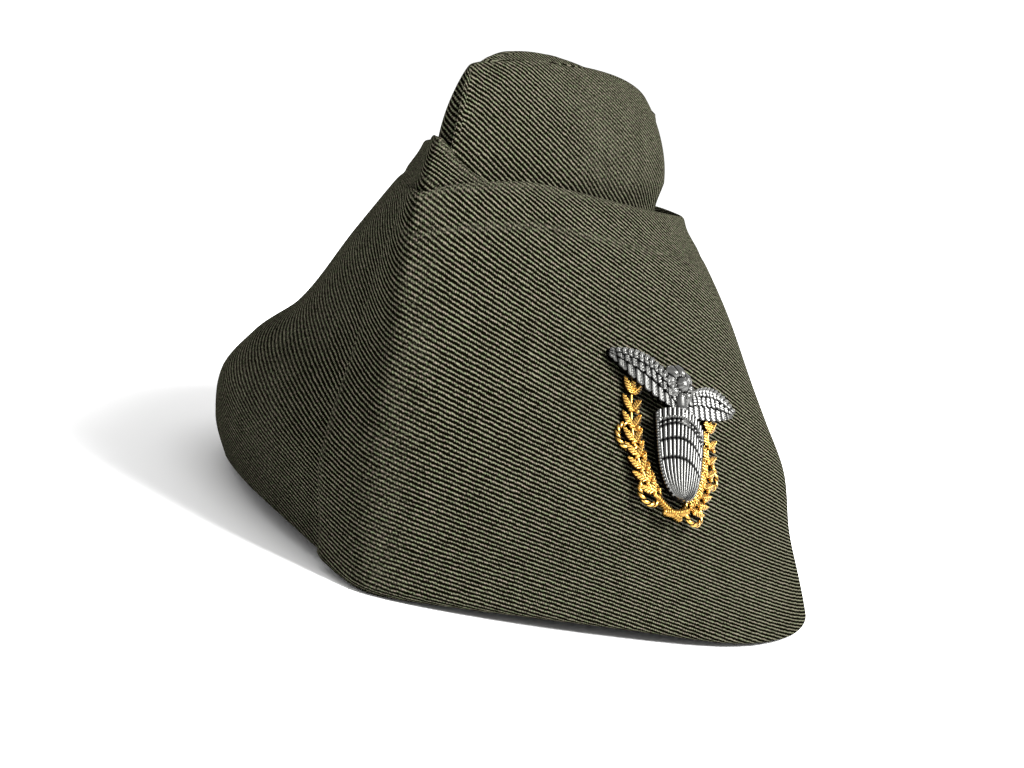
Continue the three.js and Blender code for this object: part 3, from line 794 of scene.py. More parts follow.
def twill_material(name, settings):
    """Ribbed twill: a cosine across the ribs sets colour and height, short slanted yarns break the
    ribs up, and noise frays them. The colour runs from painted shade between the ribs to a painted
    highlight on their crests. Where the worn attribute says so, fuzz covers the ribs: as wear in
    some places, as wear with a painted sheen highlight at the turned edges, as a painted sheen
    highlight on the crown's sides, as painted shade beside the front ridge, and as plain fuzz on
    the right curtain's side."""
    material, tree, shader = new_material(name)
    place = node(tree, "ShaderNodeUVMap", uv_map="cloth").outputs["UV"]
    wear_and_painted_light = node(tree, "ShaderNodeAttribute", attribute_name="wear_and_painted_light").outputs["Fac"]
    parts = node(tree, "ShaderNodeSeparateXYZ")
    tree.links.new(place, parts.inputs[0])
    along, across = parts.outputs[0], parts.outputs[1]
    shift = maths(tree, "ADD", drift(tree, place, WANDER), drift(tree, place, SHAKE))
    across = maths(tree, "ADD", across, shift)
    phase = maths(tree, "MULTIPLY", across, 2 * np.pi * MM / settings.twill_pitch)
    yarn_run = maths(tree, "MULTIPLY", along, 2 * np.pi * MM / settings.yarn_pitch)
    yarn = raised_wave(tree, "SINE", maths(tree, "MULTIPLY_ADD", phase, YARN_SLANT, yarn_run))
    broken = maths(tree, "MULTIPLY_ADD", yarn, YARN_SHARE, 1 - YARN_SHARE)
    # The flecks brighten the crests in spots: painted glints of the yarn.
    fleck = maths(tree, "ADD", drift(tree, place, FLECK), FLECK_TONE)
    crest = maths(tree, "POWER", raised_wave(tree, "COSINE", phase), CREST_POWER)
    body = maths(tree, "MULTIPLY", crest, maths(tree, "MULTIPLY", broken, fleck))
    ribbed = maths(tree, "ADD", body, drift(tree, place, FRAY))
    fuzz = maths(tree, "ADD", drift(tree, place, FUZZ), FUZZ_TONE)
    tone = maths(tree, "ADD", mixed(tree, ribbed, fuzz, wear_and_painted_light), drift(tree, place, PATCH))
    # The ramp runs from the painted shade between the ribs through the ribs' middle tone to the
    # painted highlight on the crests.
    middle = blend(np.array(settings.gap_shade), np.array(settings.pale), 0.18)
    colour = ramp(tree, tone, [(0.24, settings.gap_shade), (0.46, middle), (0.94, settings.pale)])
    casts = [(0.38, GREENISH), (0.62, REDDISH)]
    hue = ramp(tree, noise(tree, place, CAST_REPEATS, 3.0), casts)
    dyed = node(tree, "ShaderNodeVectorMath", operation="MULTIPLY")
    tree.links.new(colour, dyed.inputs[0])
    tree.links.new(hue, dyed.inputs[1])
    tree.links.new(dyed.outputs[0], shader.inputs["Base Color"])
    add_bump(tree, shader, tone, 1.0, settings.rib_depth)
    shader.inputs["Roughness"].default_value = 0.92
    shader.inputs["Specular IOR Level"].default_value = 0.0
    return material


def metal_material(name, bright, hollow_shade_colour, roughness):
    """Cast metal with painted shade and more roughness in its hollows, which the hollow attribute
    marks, with fine noise in its roughness."""
    material, tree, shader = new_material(name)
    hollow_shade = node(tree, "ShaderNodeAttribute", attribute_name="hollow_shade").outputs["Fac"]
    # Painted shade: the colour falls to the hollow colour over the hollows.
    colour = ramp(tree, hollow_shade, [(0.0, bright), (0.45, hollow_shade_colour)])
    tree.links.new(colour, shader.inputs["Base Color"])
    place = node(tree, "ShaderNodeTexCoord").outputs["Object"]
    grain = noise(tree, place, GRAIN, 3.0)
    rough = maths(tree, "MULTIPLY_ADD", grain, GRAIN_SHARE, roughness)
    rough = maths(tree, "MULTIPLY_ADD", hollow_shade, HOLLOW_SHARE, rough)
    tree.links.new(rough, shader.inputs["Roughness"])
    shader.inputs["Metallic"].default_value = 1.0
    add_bump(tree, shader, grain, 0.25, 0.1 * MM)
    return material


def thread_map(run, rise, hand):
    """Place along and across the ribs in millimetres. The ribs fall towards the rear on the left
    and rise on the right, more steeply higher up."""
    share = np.minimum(rise / CURTAIN_HEIGHT, 1.0)
    slope = blend(SLOPE_LOW, SLOPE_HIGH, share)
    ease = CLIMB_EASE * share * np.minimum(rise, CURTAIN_HEIGHT)
    across = hand * run * slope + rise * RIB_CLIMB - ease
    return np.stack([run - hand * YARN_LEAN * rise, across], -1)


def ripple_at(grid, height):
    """Slow waves over the cloth: a sum of sines of place with unlike lengths and directions."""
    runs = np.array([WAVES["across"], WAVES["along"], WAVES["up"]])
    waves = np.sin(grid @ runs + WAVES["start"]) @ np.array(WAVES["height"])
    return height / MM * waves / 2


def pressed_line(below):
    """Relief under the turned edge: a soft roll at the edge and a pressed line below it."""
    roll = ROLL_HEIGHT * hump(below, 0, ROLL_REACH)
    return roll - PRESSED_DEPTH * hump(below, PRESSED_LINE, PRESSED_WIDTH)


def curtain_grids(turn, depth, edge, hem, settings):
    """Outer and inner grids of a curtain, heights and wear. depth, edge and hem hold one value for
    each column, and turn is a function of height. hem is 1 where the foot is turned in and 0 where
    the wall ends above it."""
    steps = np.linspace(0, 1, settings.rows)[:, None]
    roll = HEM_DEPTH / 2
    low = blend(FOOT_CLEAR, roll + RIM_RAISE, hem)
    rise = blend(low, edge * CURTAIN_HEIGHT - CLOTH_WALL / 2, steps)
    up = rise / CURTAIN_HEIGHT
    turns = turn(up)
    turned_in = 1 - smoothstep(rise, roll, roll + FOOT_CLEAR)
    swell = hem * (HEM_DEPTH - CLOTH_WALL) * turned_in
    outer = curtain_point(turns, up, depth)
    inner = curtain_point(turns, up, depth + CLOTH_WALL + swell)
    below = edge * CURTAIN_HEIGHT - rise
    out = unit(outer - curtain_point(turns, up, depth + 1.0))
    waves = ripple_at(outer, settings.ripple) * smoothstep(below, 0, WAVES_WHOLE)
    relief = pressed_line(below) + waves
    # At the turned edge the fuzz is wear and also a painted sheen highlight along the rounded fold;
    # at the rim and the pressed line it is wear.
    wear_and_painted_light = EDGE_WEAR_AND_SHEEN * hump(below, 0, EDGE_REACH) + RIM_WEAR * hump(rise, 0, EDGE_REACH)
    wear_and_painted_light = wear_and_painted_light + LINE_WEAR * hump(below, PRESSED_LINE, LINE_REACH)
    return outer + out * relief[..., None], inner, rise, wear_and_painted_light


def curtain_run(grid, zero):
    """Distance round the cap along each row, zero at one column."""
    run = path_lengths(grid, 1)
    return run - run[:, zero : zero + 1]


def lap_shape(up):
    """The lap's end edge lies nearer the ridge at the top than half way down."""
    return 1 - 0.45 * smoothstep(up, 0.5, 1.0)


def make_left_curtain(settings, material):
    """The left curtain runs from its lap end, right of the front ridge, round to the rear ridge."""
    reach = np.linspace(LAP_REACH, 0, 16)[:-1]
    turns = np.linspace(0.0, CURTAIN_END, settings.columns)
    lap = len(reach)

    def turn_at(up):
        """Turns of the columns: across the lap at even reaches, then round the cap."""
        across = turn_across(-reach[None] * lap_shape(up[:, :lap]), up[:, :lap])
        return np.concatenate([across, np.broadcast_to(turns, (len(up), len(turns)))], 1)

    around = np.concatenate([-reach, turns])
    edge = curve(around, LEFT_EDGE, "turn", "height")
    flat = np.zeros_like(edge)
    outer, inner, rise, wear_and_painted_light = curtain_grids(turn_at, flat, edge, np.ones_like(edge), settings)
    run = curtain_run(outer, lap)
    uv = thread_map(run, rise, 1)
    wear_and_painted_light = np.maximum(wear_and_painted_light, LAP_WEAR * hump(run, run[:, :1], EDGE_REACH))
    # Painted shade: a band of low-contrast fuzz beside the front ridge stands for the shade where
    # the cloth turns away from the light.
    wear_and_painted_light = np.maximum(wear_and_painted_light, RIDGE_PAINTED_SHADE * hump(run, RIDGE_REACH / 3, RIDGE_REACH))
    verts, quads, uv, wear_and_painted_light = sheet_shell(outer, inner, uv, wear_and_painted_light)
    obj = make_object("left_curtain_cloth", verts, [quads], material, "wear_and_painted_light", wear_and_painted_light, uv)
    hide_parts("left_curtain")


def make_right_curtain(settings, material):
    """The right curtain runs from its flap under the left one, under the lap, and round to the
    rear ridge."""
    flap = np.linspace(FLAP_TURN, 0, 60)[:-1]
    reach = np.linspace(0, LAP_REACH, 14)
    ease = np.linspace(0, 1, 50)
    turns = np.linspace(CLEAR_TURN, CURTAIN_END, int(settings.columns * 0.67))[1:]
    lap_end = LAP_REACH + LAP_CLEAR
    a = len(flap)
    b = a + len(reach)
    c = b + len(ease)

    def turn_at(up):
        """Turns of the columns: along the flap, under the lap, out from it, then round the cap."""
        shape = lap_shape(up)
        under = turn_across(-reach[None] * shape[:, a:b], up[:, a:b])
        start = turn_across(-lap_end * shape[:, b:c], up[:, b:c])
        sides = np.broadcast_to(-turns, (len(up), len(turns)))
        front = np.broadcast_to(flap, (len(up), a))
        return np.concatenate([front, under, blend(start, -CLEAR_TURN, ease), sides], 1)

    rising = LAYER_DEPTH * (1 - smoothstep(ease, 1 / 9, 8 / 9))
    depth = np.concatenate([np.full(b, LAYER_DEPTH), rising, np.zeros_like(turns)])
    around = np.concatenate([-flap, reach * 0.8, blend(12.0, CLEAR_TURN, ease), turns])
    hem = np.concatenate([np.zeros(b), smoothstep(ease, 0.4 / 9, 2 / 9), np.ones_like(turns)])
    edge = curve(around, RIGHT_EDGE, "turn", "height")
    outer, inner, rise, wear_and_painted_light = curtain_grids(turn_at, depth, edge, hem, settings)
    uv = thread_map(curtain_run(outer, a), rise, -1)
    # Fuzz over the right curtain's side, rising from 10 to 40 degrees round from the front and
    # whole beyond.
    wear_and_painted_light = np.maximum(wear_and_painted_light, SIDE_FUZZ * smoothstep(around, 10, 40))
    verts, quads, uv, wear_and_painted_light = sheet_shell(outer, inner, uv, wear_and_painted_light)
    obj = make_object("right_curtain_cloth", verts, [quads], material, "wear_and_painted_light", wear_and_painted_light, uv)
    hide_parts("right_curtain")


def make_crown_panel(hand, name, settings, material):
    """A crown panel: the wall inside the curtains, then the dome up to its ridge."""
    turns = hand * np.linspace(*PANEL_ENDS, settings.columns)[None]
    dome_up = DOME_START / CURTAIN_HEIGHT
    wide = np.linspace(PANEL_FOOT, PANEL_CLOSER, 12)[:-1]
    low = np.concatenate([wide, np.linspace(PANEL_CLOSER, DOME_START, 36)[:-1]])
    bows = np.linspace(0, BOW_END, 40)[:, None]
    grids = []
    for wall in (0.0, PANEL_WALL):
        wall_part = crown_wall_point(turns, low[:, None] / CURTAIN_HEIGHT, wall)
        grids.append(np.concatenate([wall_part, dome_point(turns, bows, wall)]))
    outer, inner = grids
    out = unit(outer - inner)
    shown = smoothstep(outer[..., 2], 84, 96)
    relief = ripple_at(outer, settings.ripple) * shown
    outer = outer + out * relief[..., None]
    level = len(low) - 12
    rise = path_lengths(outer, 0)
    rise = rise - rise[level] + outer[level, :, 2]
    seam = CENTRE_X - crown_centre(dome_up)
    run = outer[..., 1] + CROWN_LENGTH / 2 + np.abs(outer[..., 0] - seam)
    uv = thread_map(run, rise, hand) * CROWN_SCALE
    # Fuzz on both panels' sides near the top is a painted sheen highlight, as cloth under a grazing
    # light looks paler. Along the top seam the fuzz is wear.
    side = smoothstep(np.abs(turns), 48, 75) * smoothstep(rise, 86, 100)
    wear_and_painted_light = np.maximum(SEAM_WEAR * hump(rise, rise[-1:], SEAM_REACH), CROWN_FUZZ_SHEEN * side)
    verts, quads, uv, wear_and_painted_light = sheet_shell(outer, inner, uv, wear_and_painted_light)
    obj = make_object(name + "_cloth", verts, [quads], material, "wear_and_painted_light", wear_and_painted_light, uv)
    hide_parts(name)


def make_gusset(material):
    """The strip between the ridges: it follows them along and sags between them as a parabola."""
    ahead = GUSSET_END * np.linspace(1, -1, 150)[:, None]
    share = np.linspace(-1, 1, 17)[None]
    half = ridge_half(ahead) - GUSSET_GAP
    sag = GUSSET_DIP * (1 - (ahead / GUSSET_END) ** 2) * (1 - share**2)
    seam = CENTRE_X - crown_centre(DOME_START / CURTAIN_HEIGHT)
    height = ridge_height(ahead)
    x = seam - crown_lean_at(height) + half * share
    y = -(crown_reach(ahead) - DOME_SETBACK * ahead**2) * ahead
    outer = points(x, y, height - sag)
    inner = points(x, y, height - sag - PANEL_WALL)
    uv = thread_map(path_lengths(outer, 0), path_lengths(outer, 1) + 90, -1)
    verts, quads, uv, wear_and_painted_light = sheet_shell(outer, inner, uv, GUSSET_WEAR)
    obj = make_object("top_gusset_cloth", verts, [quads], material, "wear_and_painted_light", wear_and_painted_light, uv)
    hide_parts("top_gusset")


def turned(vector, axis, angle):
    """A vector at right angles to an axis, turned round it by an angle in radians."""
    return vector * np.cos(angle) + np.cross(axis, vector) * np.sin(angle)


def badge_axes(settings):
    """The badge's centre on the cloth, and its directions across, along and out of it."""
    up = settings.rise / MM / CURTAIN_HEIGHT
    turn = np.degrees(settings.turn)
    centre = curtain_point(turn, up, 0.0)
    climb = curtain_point(turn, up + 0.02, 0.0) - centre
    cloth_out = unit(np.cross(curtain_point(turn + 1.0, up, 0.0) - centre, climb))
    uphill = np.array([0.0, 0.0, 1.0])
    uphill = unit(uphill - cloth_out * uphill.dot(cloth_out))
    out = turned(cloth_out, uphill, -settings.facing)
    along = turned(uphill, out, -settings.tilt)
    return centre, np.cross(along, out), along, out


def bend_badge(flat, settings):
    """Flat badge points bent round an axis that runs up behind the badge, and set on the cloth."""
    centre, across, along, out = badge_axes(settings)
    bend = settings.bend / MM
    angle = flat[:, 0] / bend
    radius = bend + flat[:, 2]
    away = settings.standoff / MM + radius * np.cos(angle) - bend
    side = (radius * np.sin(angle))[:, None] * across
    return centre + side + flat[:, 1:2] * along + away[:, None] * out


def thinned(count):
    """Which of count places in a row a coarser row keeps, and the nearest kept one to each."""
    kept = (count - 2) // BACK_STEP + 2
    places = np.round(np.linspace(0, count - 1, kept)).astype(int)
    nearest = np.round(np.linspace(0, kept - 1, count)).astype(int)
    return places, nearest


def relief_plate(x, y, front, back, hollow_shade):
    """A closed plate: a fine grid of heights in front and a coarser flat back, as vertices, quads
    and the hollow mask for painted shade, which is full over the back."""
    row_places, near_row = thinned(x.shape[0])
    column_places, near_column = thinned(x.shape[1])
    kept = np.ix_(row_places, column_places)
    behind = points(x[kept], y[kept], back).reshape(-1, 3)
    grid = np.arange(x.size).reshape(x.shape)
    back_grid = x.size + np.arange(len(behind)).reshape(x[kept].shape)
    quads = closed_quads(grid, back_grid, back_grid[near_row][:, near_column])
    verts = np.concatenate([points(x, y, front).reshape(-1, 3), behind])
    shade = np.concatenate([np.broadcast_to(hollow_shade, x.shape).ravel(), np.ones(len(behind))])
    return verts, facing_out(verts, quads), shade


def tip_fan(ring, tip):
    """Triangles from a ring of vertices to its tip, as quads whose last two corners agree."""
    tips = np.full(len(ring), tip)
    return np.stack([ring, np.roll(ring, -1), tips, tips], -1)


def capped_rings(index):
    """Quads of rings of vertices, closed by a tip at either end. The tips' numbers follow on."""
    fans = tip_fan(index[0], index.size), tip_fan(index[-1][::-1], index.size + 1)
    return np.concatenate([cell_quads(index, closed_columns=True), *fans])


def tube(path, radius, hollow_shade=0.0, closed=False, sides=14):
    """A round tube along a flat path. radius may vary round and along it, as an array of path by
    sides."""
    ahead = np.roll(path, -1, 0) - np.roll(path, 1, 0)
    if not closed:
        ahead[0] = path[1] - path[0]
        ahead[-1] = path[-1] - path[-2]
    ahead = unit(ahead)
    side = unit(np.cross(ahead, [0.0, 0.0, 1.0]))
    up = np.cross(side, ahead)
    angle = np.linspace(0, 2 * np.pi, sides, endpoint=False)[None, :, None]
    radius = np.broadcast_to(radius, (len(path), sides))[..., None]
    ring = path[:, None] + radius * (side[:, None] * np.cos(angle) + up[:, None] * np.sin(angle))
    if not closed:
        ends = path[:1, None].repeat(sides, 1), path[-1:, None].repeat(sides, 1)
        ring = np.concatenate([ends[0], ring, ends[1]])
        ring[0] = blend(ring[0], ring[1], 0.02)
        ring[-1] = blend(ring[-1], ring[-2], 0.02)
    index = np.arange(ring.shape[0] * sides).reshape(-1, sides)
    verts = ring.reshape(-1, 3)
    shade = np.broadcast_to(hollow_shade, ring.shape[:2]).ravel()
    if closed:
        quads = cell_quads(np.concatenate([index, index[:1]]), closed_columns=True)
    else:
        quads = capped_rings(index)
        verts = np.concatenate([verts, path[:1], path[-1:]])
        shade = np.pad(shade, (0, 2), mode="edge")
    return verts, facing_out(verts, quads), shade


def resample(path, count):
    """Points evenly spaced along a path."""
    run = np.concatenate([[0], np.cumsum(np.linalg.norm(np.diff(path, axis=0), axis=1))])
    even = np.linspace(0, run[-1], count)
    return np.stack([np.interp(even, run, path[:, k]) for k in range(3)], -1), run[-1]


def cord_loop(path, radius):
    """A closed two strand cord: a tube whose radius swells twice round, turning steadily along."""
    sides = 16
    count = max(24, int(np.linalg.norm(np.diff(path, axis=0), axis=1).sum() / 0.16))
    path, length = resample(path, count)
    turns = np.round(length / (radius * 2.6))
    along = np.linspace(0, 1, len(path) - 1, endpoint=False)[:, None]
    angle = np.linspace(0, 2 * np.pi, sides, endpoint=False)[None]
    lobe = np.abs(np.cos(angle - along * turns * np.pi))
    swell = radius * (0.68 + 0.42 * lobe**0.8)
    return tube(path[:-1], swell, 1 - smoothstep(lobe, 0.1, 0.6), closed=True, sides=sides)


def bead_row(centres, radius, hollow_shade=0.05):
    """Small balls at the given points, each a grid of rings with closed poles."""
    rings, sides = 6, 8
    polar = np.linspace(0, np.pi, rings + 1)[1:-1, None]
    around = np.linspace(0, 2 * np.pi, sides, endpoint=False)
    ball = points(np.sin(polar) * np.cos(around), np.sin(polar) * np.sin(around), np.cos(polar))
    ball = np.concatenate([ball.reshape(-1, 3), [[0, 0, 1.0], [0, 0, -1.0]]])
    index = np.arange((rings - 1) * sides).reshape(-1, sides)
    quads = facing_out(ball, capped_rings(index))
    centres = np.asarray(centres, float)
    verts = (centres[:, None] + ball[None] * radius).reshape(-1, 3)
    faces = (quads[None] + (np.arange(len(centres)) * len(ball))[:, None, None]).reshape(-1, 4)
    return verts, faces, np.full(len(verts), hollow_shade)


def bezier(places, t):
    """A Bezier curve through its control places, by repeated blending."""
    rows = [np.broadcast_to(np.asarray(p, float), (*np.shape(t), len(p))) for p in places]
    share = np.asarray(t)[..., None]
    while len(rows) > 1:
        rows = [blend(a, b, share) for a, b in zip(rows[:-1], rows[1:])]
    return rows[0]


def half_round(share):
    """Height of half a circle over a run from 0 to 1."""
    return np.sqrt(np.clip(1 - (2 * share - 1) ** 2, 0, 1))


def wing(side, settings):
    """One raised wing: three tiers of feathers between a leading and a trailing curve. Each feather
    is a rounded strip with a quill, and each tier ends in a row of rounded tips above the next."""
    half = settings.wing_span / MM / 2
    rise = settings.wing_rise / MM
    span = np.linspace(0, 1, 170)[:, None]
    chord = np.linspace(0, 1, 110)[None]
    lead = bezier([(out * half, up * rise) for out, up in WING_LEAD], span)
    trail = bezier([(out * half, up * rise) for out, up in WING_TRAIL], span)
    reach = chord * (0.86 + 0.15 * half_round((span * FEATHERS[2]) % 1))
    place = lead + (trail - lead) * reach[..., None]
    first, second = (
        end + tip * half_round((span * number) % 1)
        for end, tip, number in zip(TIER_ENDS, TIER_TIPS, FEATHERS)
    )
    tier = (chord > first).astype(int) + (chord > second).astype(int)
    across = (span * np.choose(tier, FEATHERS)) % 1
    start = np.choose(tier, [np.zeros_like(first), first, second])
    stop = np.choose(tier, [first, second, np.ones_like(first)])
    down = (chord - start) / (stop - start)
    groove = np.abs(2 * across - 1)
    quill = hump(across, 0.5, 0.07)
    barbs = 0.05 * np.sin(60 * chord + 14 * np.abs(across - 0.5))
    height = 0.75 - 0.2 * tier + 0.38 * down + 0.34 * (1 - groove**2.6) + 0.14 * quill + barbs
    height = height * smoothstep(chord, 0, 0.02) + 0.75 * hump(chord, 0, 0.07)
    step = (1 - smoothstep(down, 0.0, 0.12)) * (tier > 0)
    hollow_shade = np.clip(smoothstep(groove, 0.72, 1.0) + 0.8 * step, 0, 1)
    front = SILVER_BACK + 0.35 + height * 0.95
    return relief_plate(side * place[..., 0], place[..., 1], front, SILVER_BACK, hollow_shade)


def rosette():
    """Eight petals round a boss: the outline is a lobed circle, and the height is a dome with a
    groove between the petals and a line down each one."""
    share = np.linspace(0.0, 1, 60)[:, None]
    around = np.linspace(0, 2 * np.pi, 192, endpoint=False)[None]
    petal = np.abs(np.cos(PETALS / 2 * around))
    radius = ROSETTE_RADIUS * (0.84 + 0.16 * petal**0.5) * share
    x = radius * np.cos(around)
    y = ROSETTE_RISE + radius * np.sin(around)
    arch = np.sin(np.pi * np.clip((share - 0.3) / 0.7, 0, 1) ** 0.75)
    dome = SILVER_PLATE * arch * (0.45 + 0.55 * petal)
    vein = 0.22 * smoothstep(petal, 0.95, 1.0) * (share > 0.42)
    boss = 2.4 * np.sqrt(np.clip(1 - (share / 0.38) ** 2, 0, 1))
    height = np.maximum(dome - vein, boss)
    hollow_shade = np.clip(1 - petal / 0.3, 0, 1) * (share > 0.4) + hump(share, 0.39, 0.03)
    hollow_shade = np.clip(hollow_shade, 0, 1)
    face = points(x, y, SILVER_BACK + 0.7 + height)
    rings = np.concatenate([face[1:], points(x[-1:], y[-1:], SILVER_BACK)])
    index = np.arange(rings[..., 0].size).reshape(rings.shape[:2])
    tips = face[0, 0], (0.0, ROSETTE_RISE, SILVER_BACK)
    verts = np.concatenate([rings.reshape(-1, 3), tips])
    shade = np.concatenate([hollow_shade[1:].ravel(), np.ones(x.shape[1]), hollow_shade[0, :1], [1.0]])
    shape = verts, facing_out(verts, capped_rings(index)), shade
    angle = np.linspace(0, 2 * np.pi, 2 * PETALS, endpoint=False)
    ring = 2.35 * np.cos(angle), ROSETTE_RISE + 2.35 * np.sin(angle), SILVER_BACK + 1.5
    return [shape, bead_row(points(*ring), 0.36)]


def shell_half(down, settings):
    """Half width of the shell: a rounded outline that closes to a point."""
    round_off = np.sqrt(np.clip(1 - down**3.2, 0.004, None))
    return settings.shell_width / MM / 2 * round_off * (1 - 0.06 * np.sin(down * np.pi))


def shell(settings):
    """Fan shell: rounded ribs that run together at the point, crossed by a few growth lines, with
    a beaded edge."""
    height = settings.shell_height / MM
    share = np.linspace(-1, 1, 221)[None]
    down = np.linspace(0, 1, 90)[:, None]
    wave = np.abs(np.cos(share * SHELL_RIBS * np.pi / 2))
    top = SHELL_TOP + SHELL_ARCH * (1 - share**2) + 0.35 * wave
    y = blend(top, SHELL_TOP - height, down)
    x = share * shell_half(down, settings)
    swell = SHELL_SWELL * (1 - share**2) * (1 - 0.5 * down)
    lines = sum(0.22 * hump(down, at + 0.05 * share**2, 0.012) for at in GROWTH_LINES)
    base = SILVER_BACK + SILVER_PLATE * 0.7
    front = base + swell + 0.62 * wave**0.7 - lines
    hollow_shade = np.clip(1.15 - wave / 0.5, 0, 1) + np.clip(lines * 3, 0, 0.6)
    plate = relief_plate(x, y, front, SILVER_BACK, np.clip(hollow_shade, 0, 1))
    down_edge = np.linspace(0.02, 0.97, 27)
    half = shell_half(down_edge, settings) - 0.1
    y_edge = SHELL_TOP - height * down_edge
    edge = [points(hand * half, y_edge, SILVER_BACK + 1.25) for hand in (-1, 1)]
    across = np.linspace(-0.97, 0.97, 23)
    arch = points(
        across * shell_half(np.array(0.1), settings),
        SHELL_TOP + SHELL_ARCH * (1 - across**2) - 2.1,
        base + SHELL_SWELL * (1 - across**2) * 0.95 + 0.45,
    )
    return [plate, bead_row(np.concatenate(edge), 0.42), bead_row(arch, 0.38)]


def neck():
    """Flattened stem from the rosette down to the shell, with two turned rings."""
    path = points(np.zeros(40), np.linspace(*NECK_ENDS, 40), SILVER_BACK + 0.9)
    t = np.linspace(0, 1, 40)[:, None]
    rings = sum(0.35 * hump(t, at, 0.06) for at in NECK_RINGS)
    return [tube(path, 1.5 + 1.1 * t**1.5 + rings, 0.1, sides=24)]


def leaf(place, angle, length, width, lift):
    """A pointed leaf: half width is a sine of the way along, drawn to a point, with a midrib and
    slanted veins."""
    t = np.linspace(0, 1, 34)[:, None]
    share = np.linspace(-1, 1, 21)[None]
    half = width / 2 * np.sin(np.pi * np.clip(t, 0, 1) ** 0.85) ** 0.8 + 0.03
    u = t * length + np.zeros_like(share)
    v = half * share
    vein = 0.13 * np.cos(2 * np.pi * (t * 6 - np.abs(share) * 1.2))
    arch = 1 - share**2
    midrib = 0.28 * hump(share, 0, 0.14)
    height = 0.35 + arch * (0.5 * np.sin(np.pi * t) ** 0.5 + vein) + midrib
    between = (vein < -0.07) * (np.abs(share) > 0.18)
    hollow_shade = np.clip(smoothstep(np.abs(share), 0.75, 1.0) + 0.6 * between, 0, 1)
    x = place[0] + u * np.cos(angle) - v * np.sin(angle)
    y = place[1] + u * np.sin(angle) + v * np.cos(angle)
    return relief_plate(x, y, lift + height, lift - 0.25, hollow_shade)


def spray(side):
    """One leafy spray: a curved stem, pairs of leaves and berries along it, a wrapped foot and two
    cord loops."""
    z = GOLD_PLATE / 2
    controls = [(side * out, up, z) for out, up in SPRAY_STEM]
    t = np.linspace(0, 1, 60)
    parts = [tube(bezier(controls, t), STEM_RADIUS * (1.15 - 0.5 * t[:, None]), 0.1)]
    wrap, _length = resample(bezier(controls, np.linspace(0.02, 0.26, 40)), 90)
    parts.append(tube(wrap, WRAP_RADIUS + 0.18 * np.cos(np.arange(90) * 0.85)[:, None], 0.15))
    for at in np.linspace(0.3, 0.97, LEAF_PAIRS):
        place = bezier(controls, np.array(at))
        ahead = bezier(controls, np.array(at + 0.01)) - place
        along = np.arctan2(ahead[1], ahead[0])
        for turn in (-LEAF_ANGLE, LEAF_ANGLE):
            parts.append(leaf(place, along + turn, 5.8 - 1.2 * at, LEAF_WIDTH, z + 0.1))
        if at < 0.9:
            beside = along + np.array([-1.5, 1.5])
            berries = place + 1.1 * points(np.cos(beside), np.sin(beside), 0.9)
            parts.append(bead_row(berries, BERRY_RADIUS))
    tip = bezier(controls, np.array(TOP_LEAF))
    parts.append(leaf(tip, np.pi / 2 + side * 0.08, 4.6, 2.3, z + 0.1))
    around = np.linspace(0, 2 * np.pi, 80)
    for share in LOOP_PLACES:
        x, y, _level = bezier(controls, np.array(share))
        x = x + side * LOOP_RADIUS / 2 + LOOP_RADIUS * np.cos(around)
        parts.append(cord_loop(points(x, y + LOOP_RADIUS * np.sin(around), z), CORD_RADIUS))
    return parts


def make_badge_part(name, node_name, parts, material, settings):
    """Joins parts, bends them onto the cap and shows them in place of their solid."""
    sizes = [len(part[0]) for part in parts]
    starts = np.concatenate([[0], np.cumsum(sizes)[:-1]])
    verts = bend_badge(np.concatenate([part[0] for part in parts]), settings)
    quads = np.concatenate([part[1] + start for part, start in zip(parts, starts)])
    fans = quads[:, 2] == quads[:, 3]
    sets = [faces for faces in (quads[~fans], quads[fans][:, :3]) if len(faces)]
    hollow_shade = np.concatenate([part[2] for part in parts])
    obj = make_object(name, verts, sets, material, "hollow_shade", hollow_shade)
    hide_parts(node_name)
    return obj


class CAP_OT_cloth(bpy.types.Operator):
    """Makes the curtains, crown panels and gusset in ribbed twill"""

    bl_idname = "cap.cloth"
    bl_label = "Make the cloth"

    def execute(self, context):
        settings = context.scene.cap_cloth
        material = twill_material("twill", settings)
        make_left_curtain(settings, material)
        make_right_curtain(settings, material)
        make_crown_panel(1, "left_crown_panel", settings, material)
        make_crown_panel(-1, "right_crown_panel", settings, material)
        make_gusset(material)
        return {"FINISHED"}


class CAP_OT_badge(bpy.types.Operator):
    """Makes the cast badge: silver wings, rosette and shell over gold sprays"""

    bl_idname = "cap.badge"
    bl_label = "Make the badge"

    def execute(self, context):
        settings = context.scene.cap_badge
        silver = metal_material("silver", settings.silver, SILVER_HOLLOW_SHADE, 0.24)
        gold = metal_material("gilt", settings.gold, GOLD_HOLLOW_SHADE, 0.2)
        plain = metal_material("post", POST_PALE, POST_HOLLOW_SHADE, 0.35)
        parts = [wing(-1, settings), wing(1, settings)] + rosette() + shell(settings) + neck()
        make_badge_part("badge_silver", "badge_winged_shell", parts, silver, settings)
        parts = spray(-1) + spray(1)
        make_badge_part("badge_gold", "badge_sprays", parts, gold, settings)
        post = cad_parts["badge_post"]
        post.data.materials.clear()
        post.data.materials.append(plain)
        return {"FINISHED"}


class CAP_OT_stage(bpy.types.Operator):
    """Makes the floor, the lights and the camera"""

    bl_idname = "cap.stage"
    bl_label = "Make the stage"

    def execute(self, context):
        settings = context.scene.cap_stage
        make_floor()
        axes = camera_axes(settings)
        make_camera(settings, axes)
        make_lights(settings, axes)
        return {"FINISHED"}


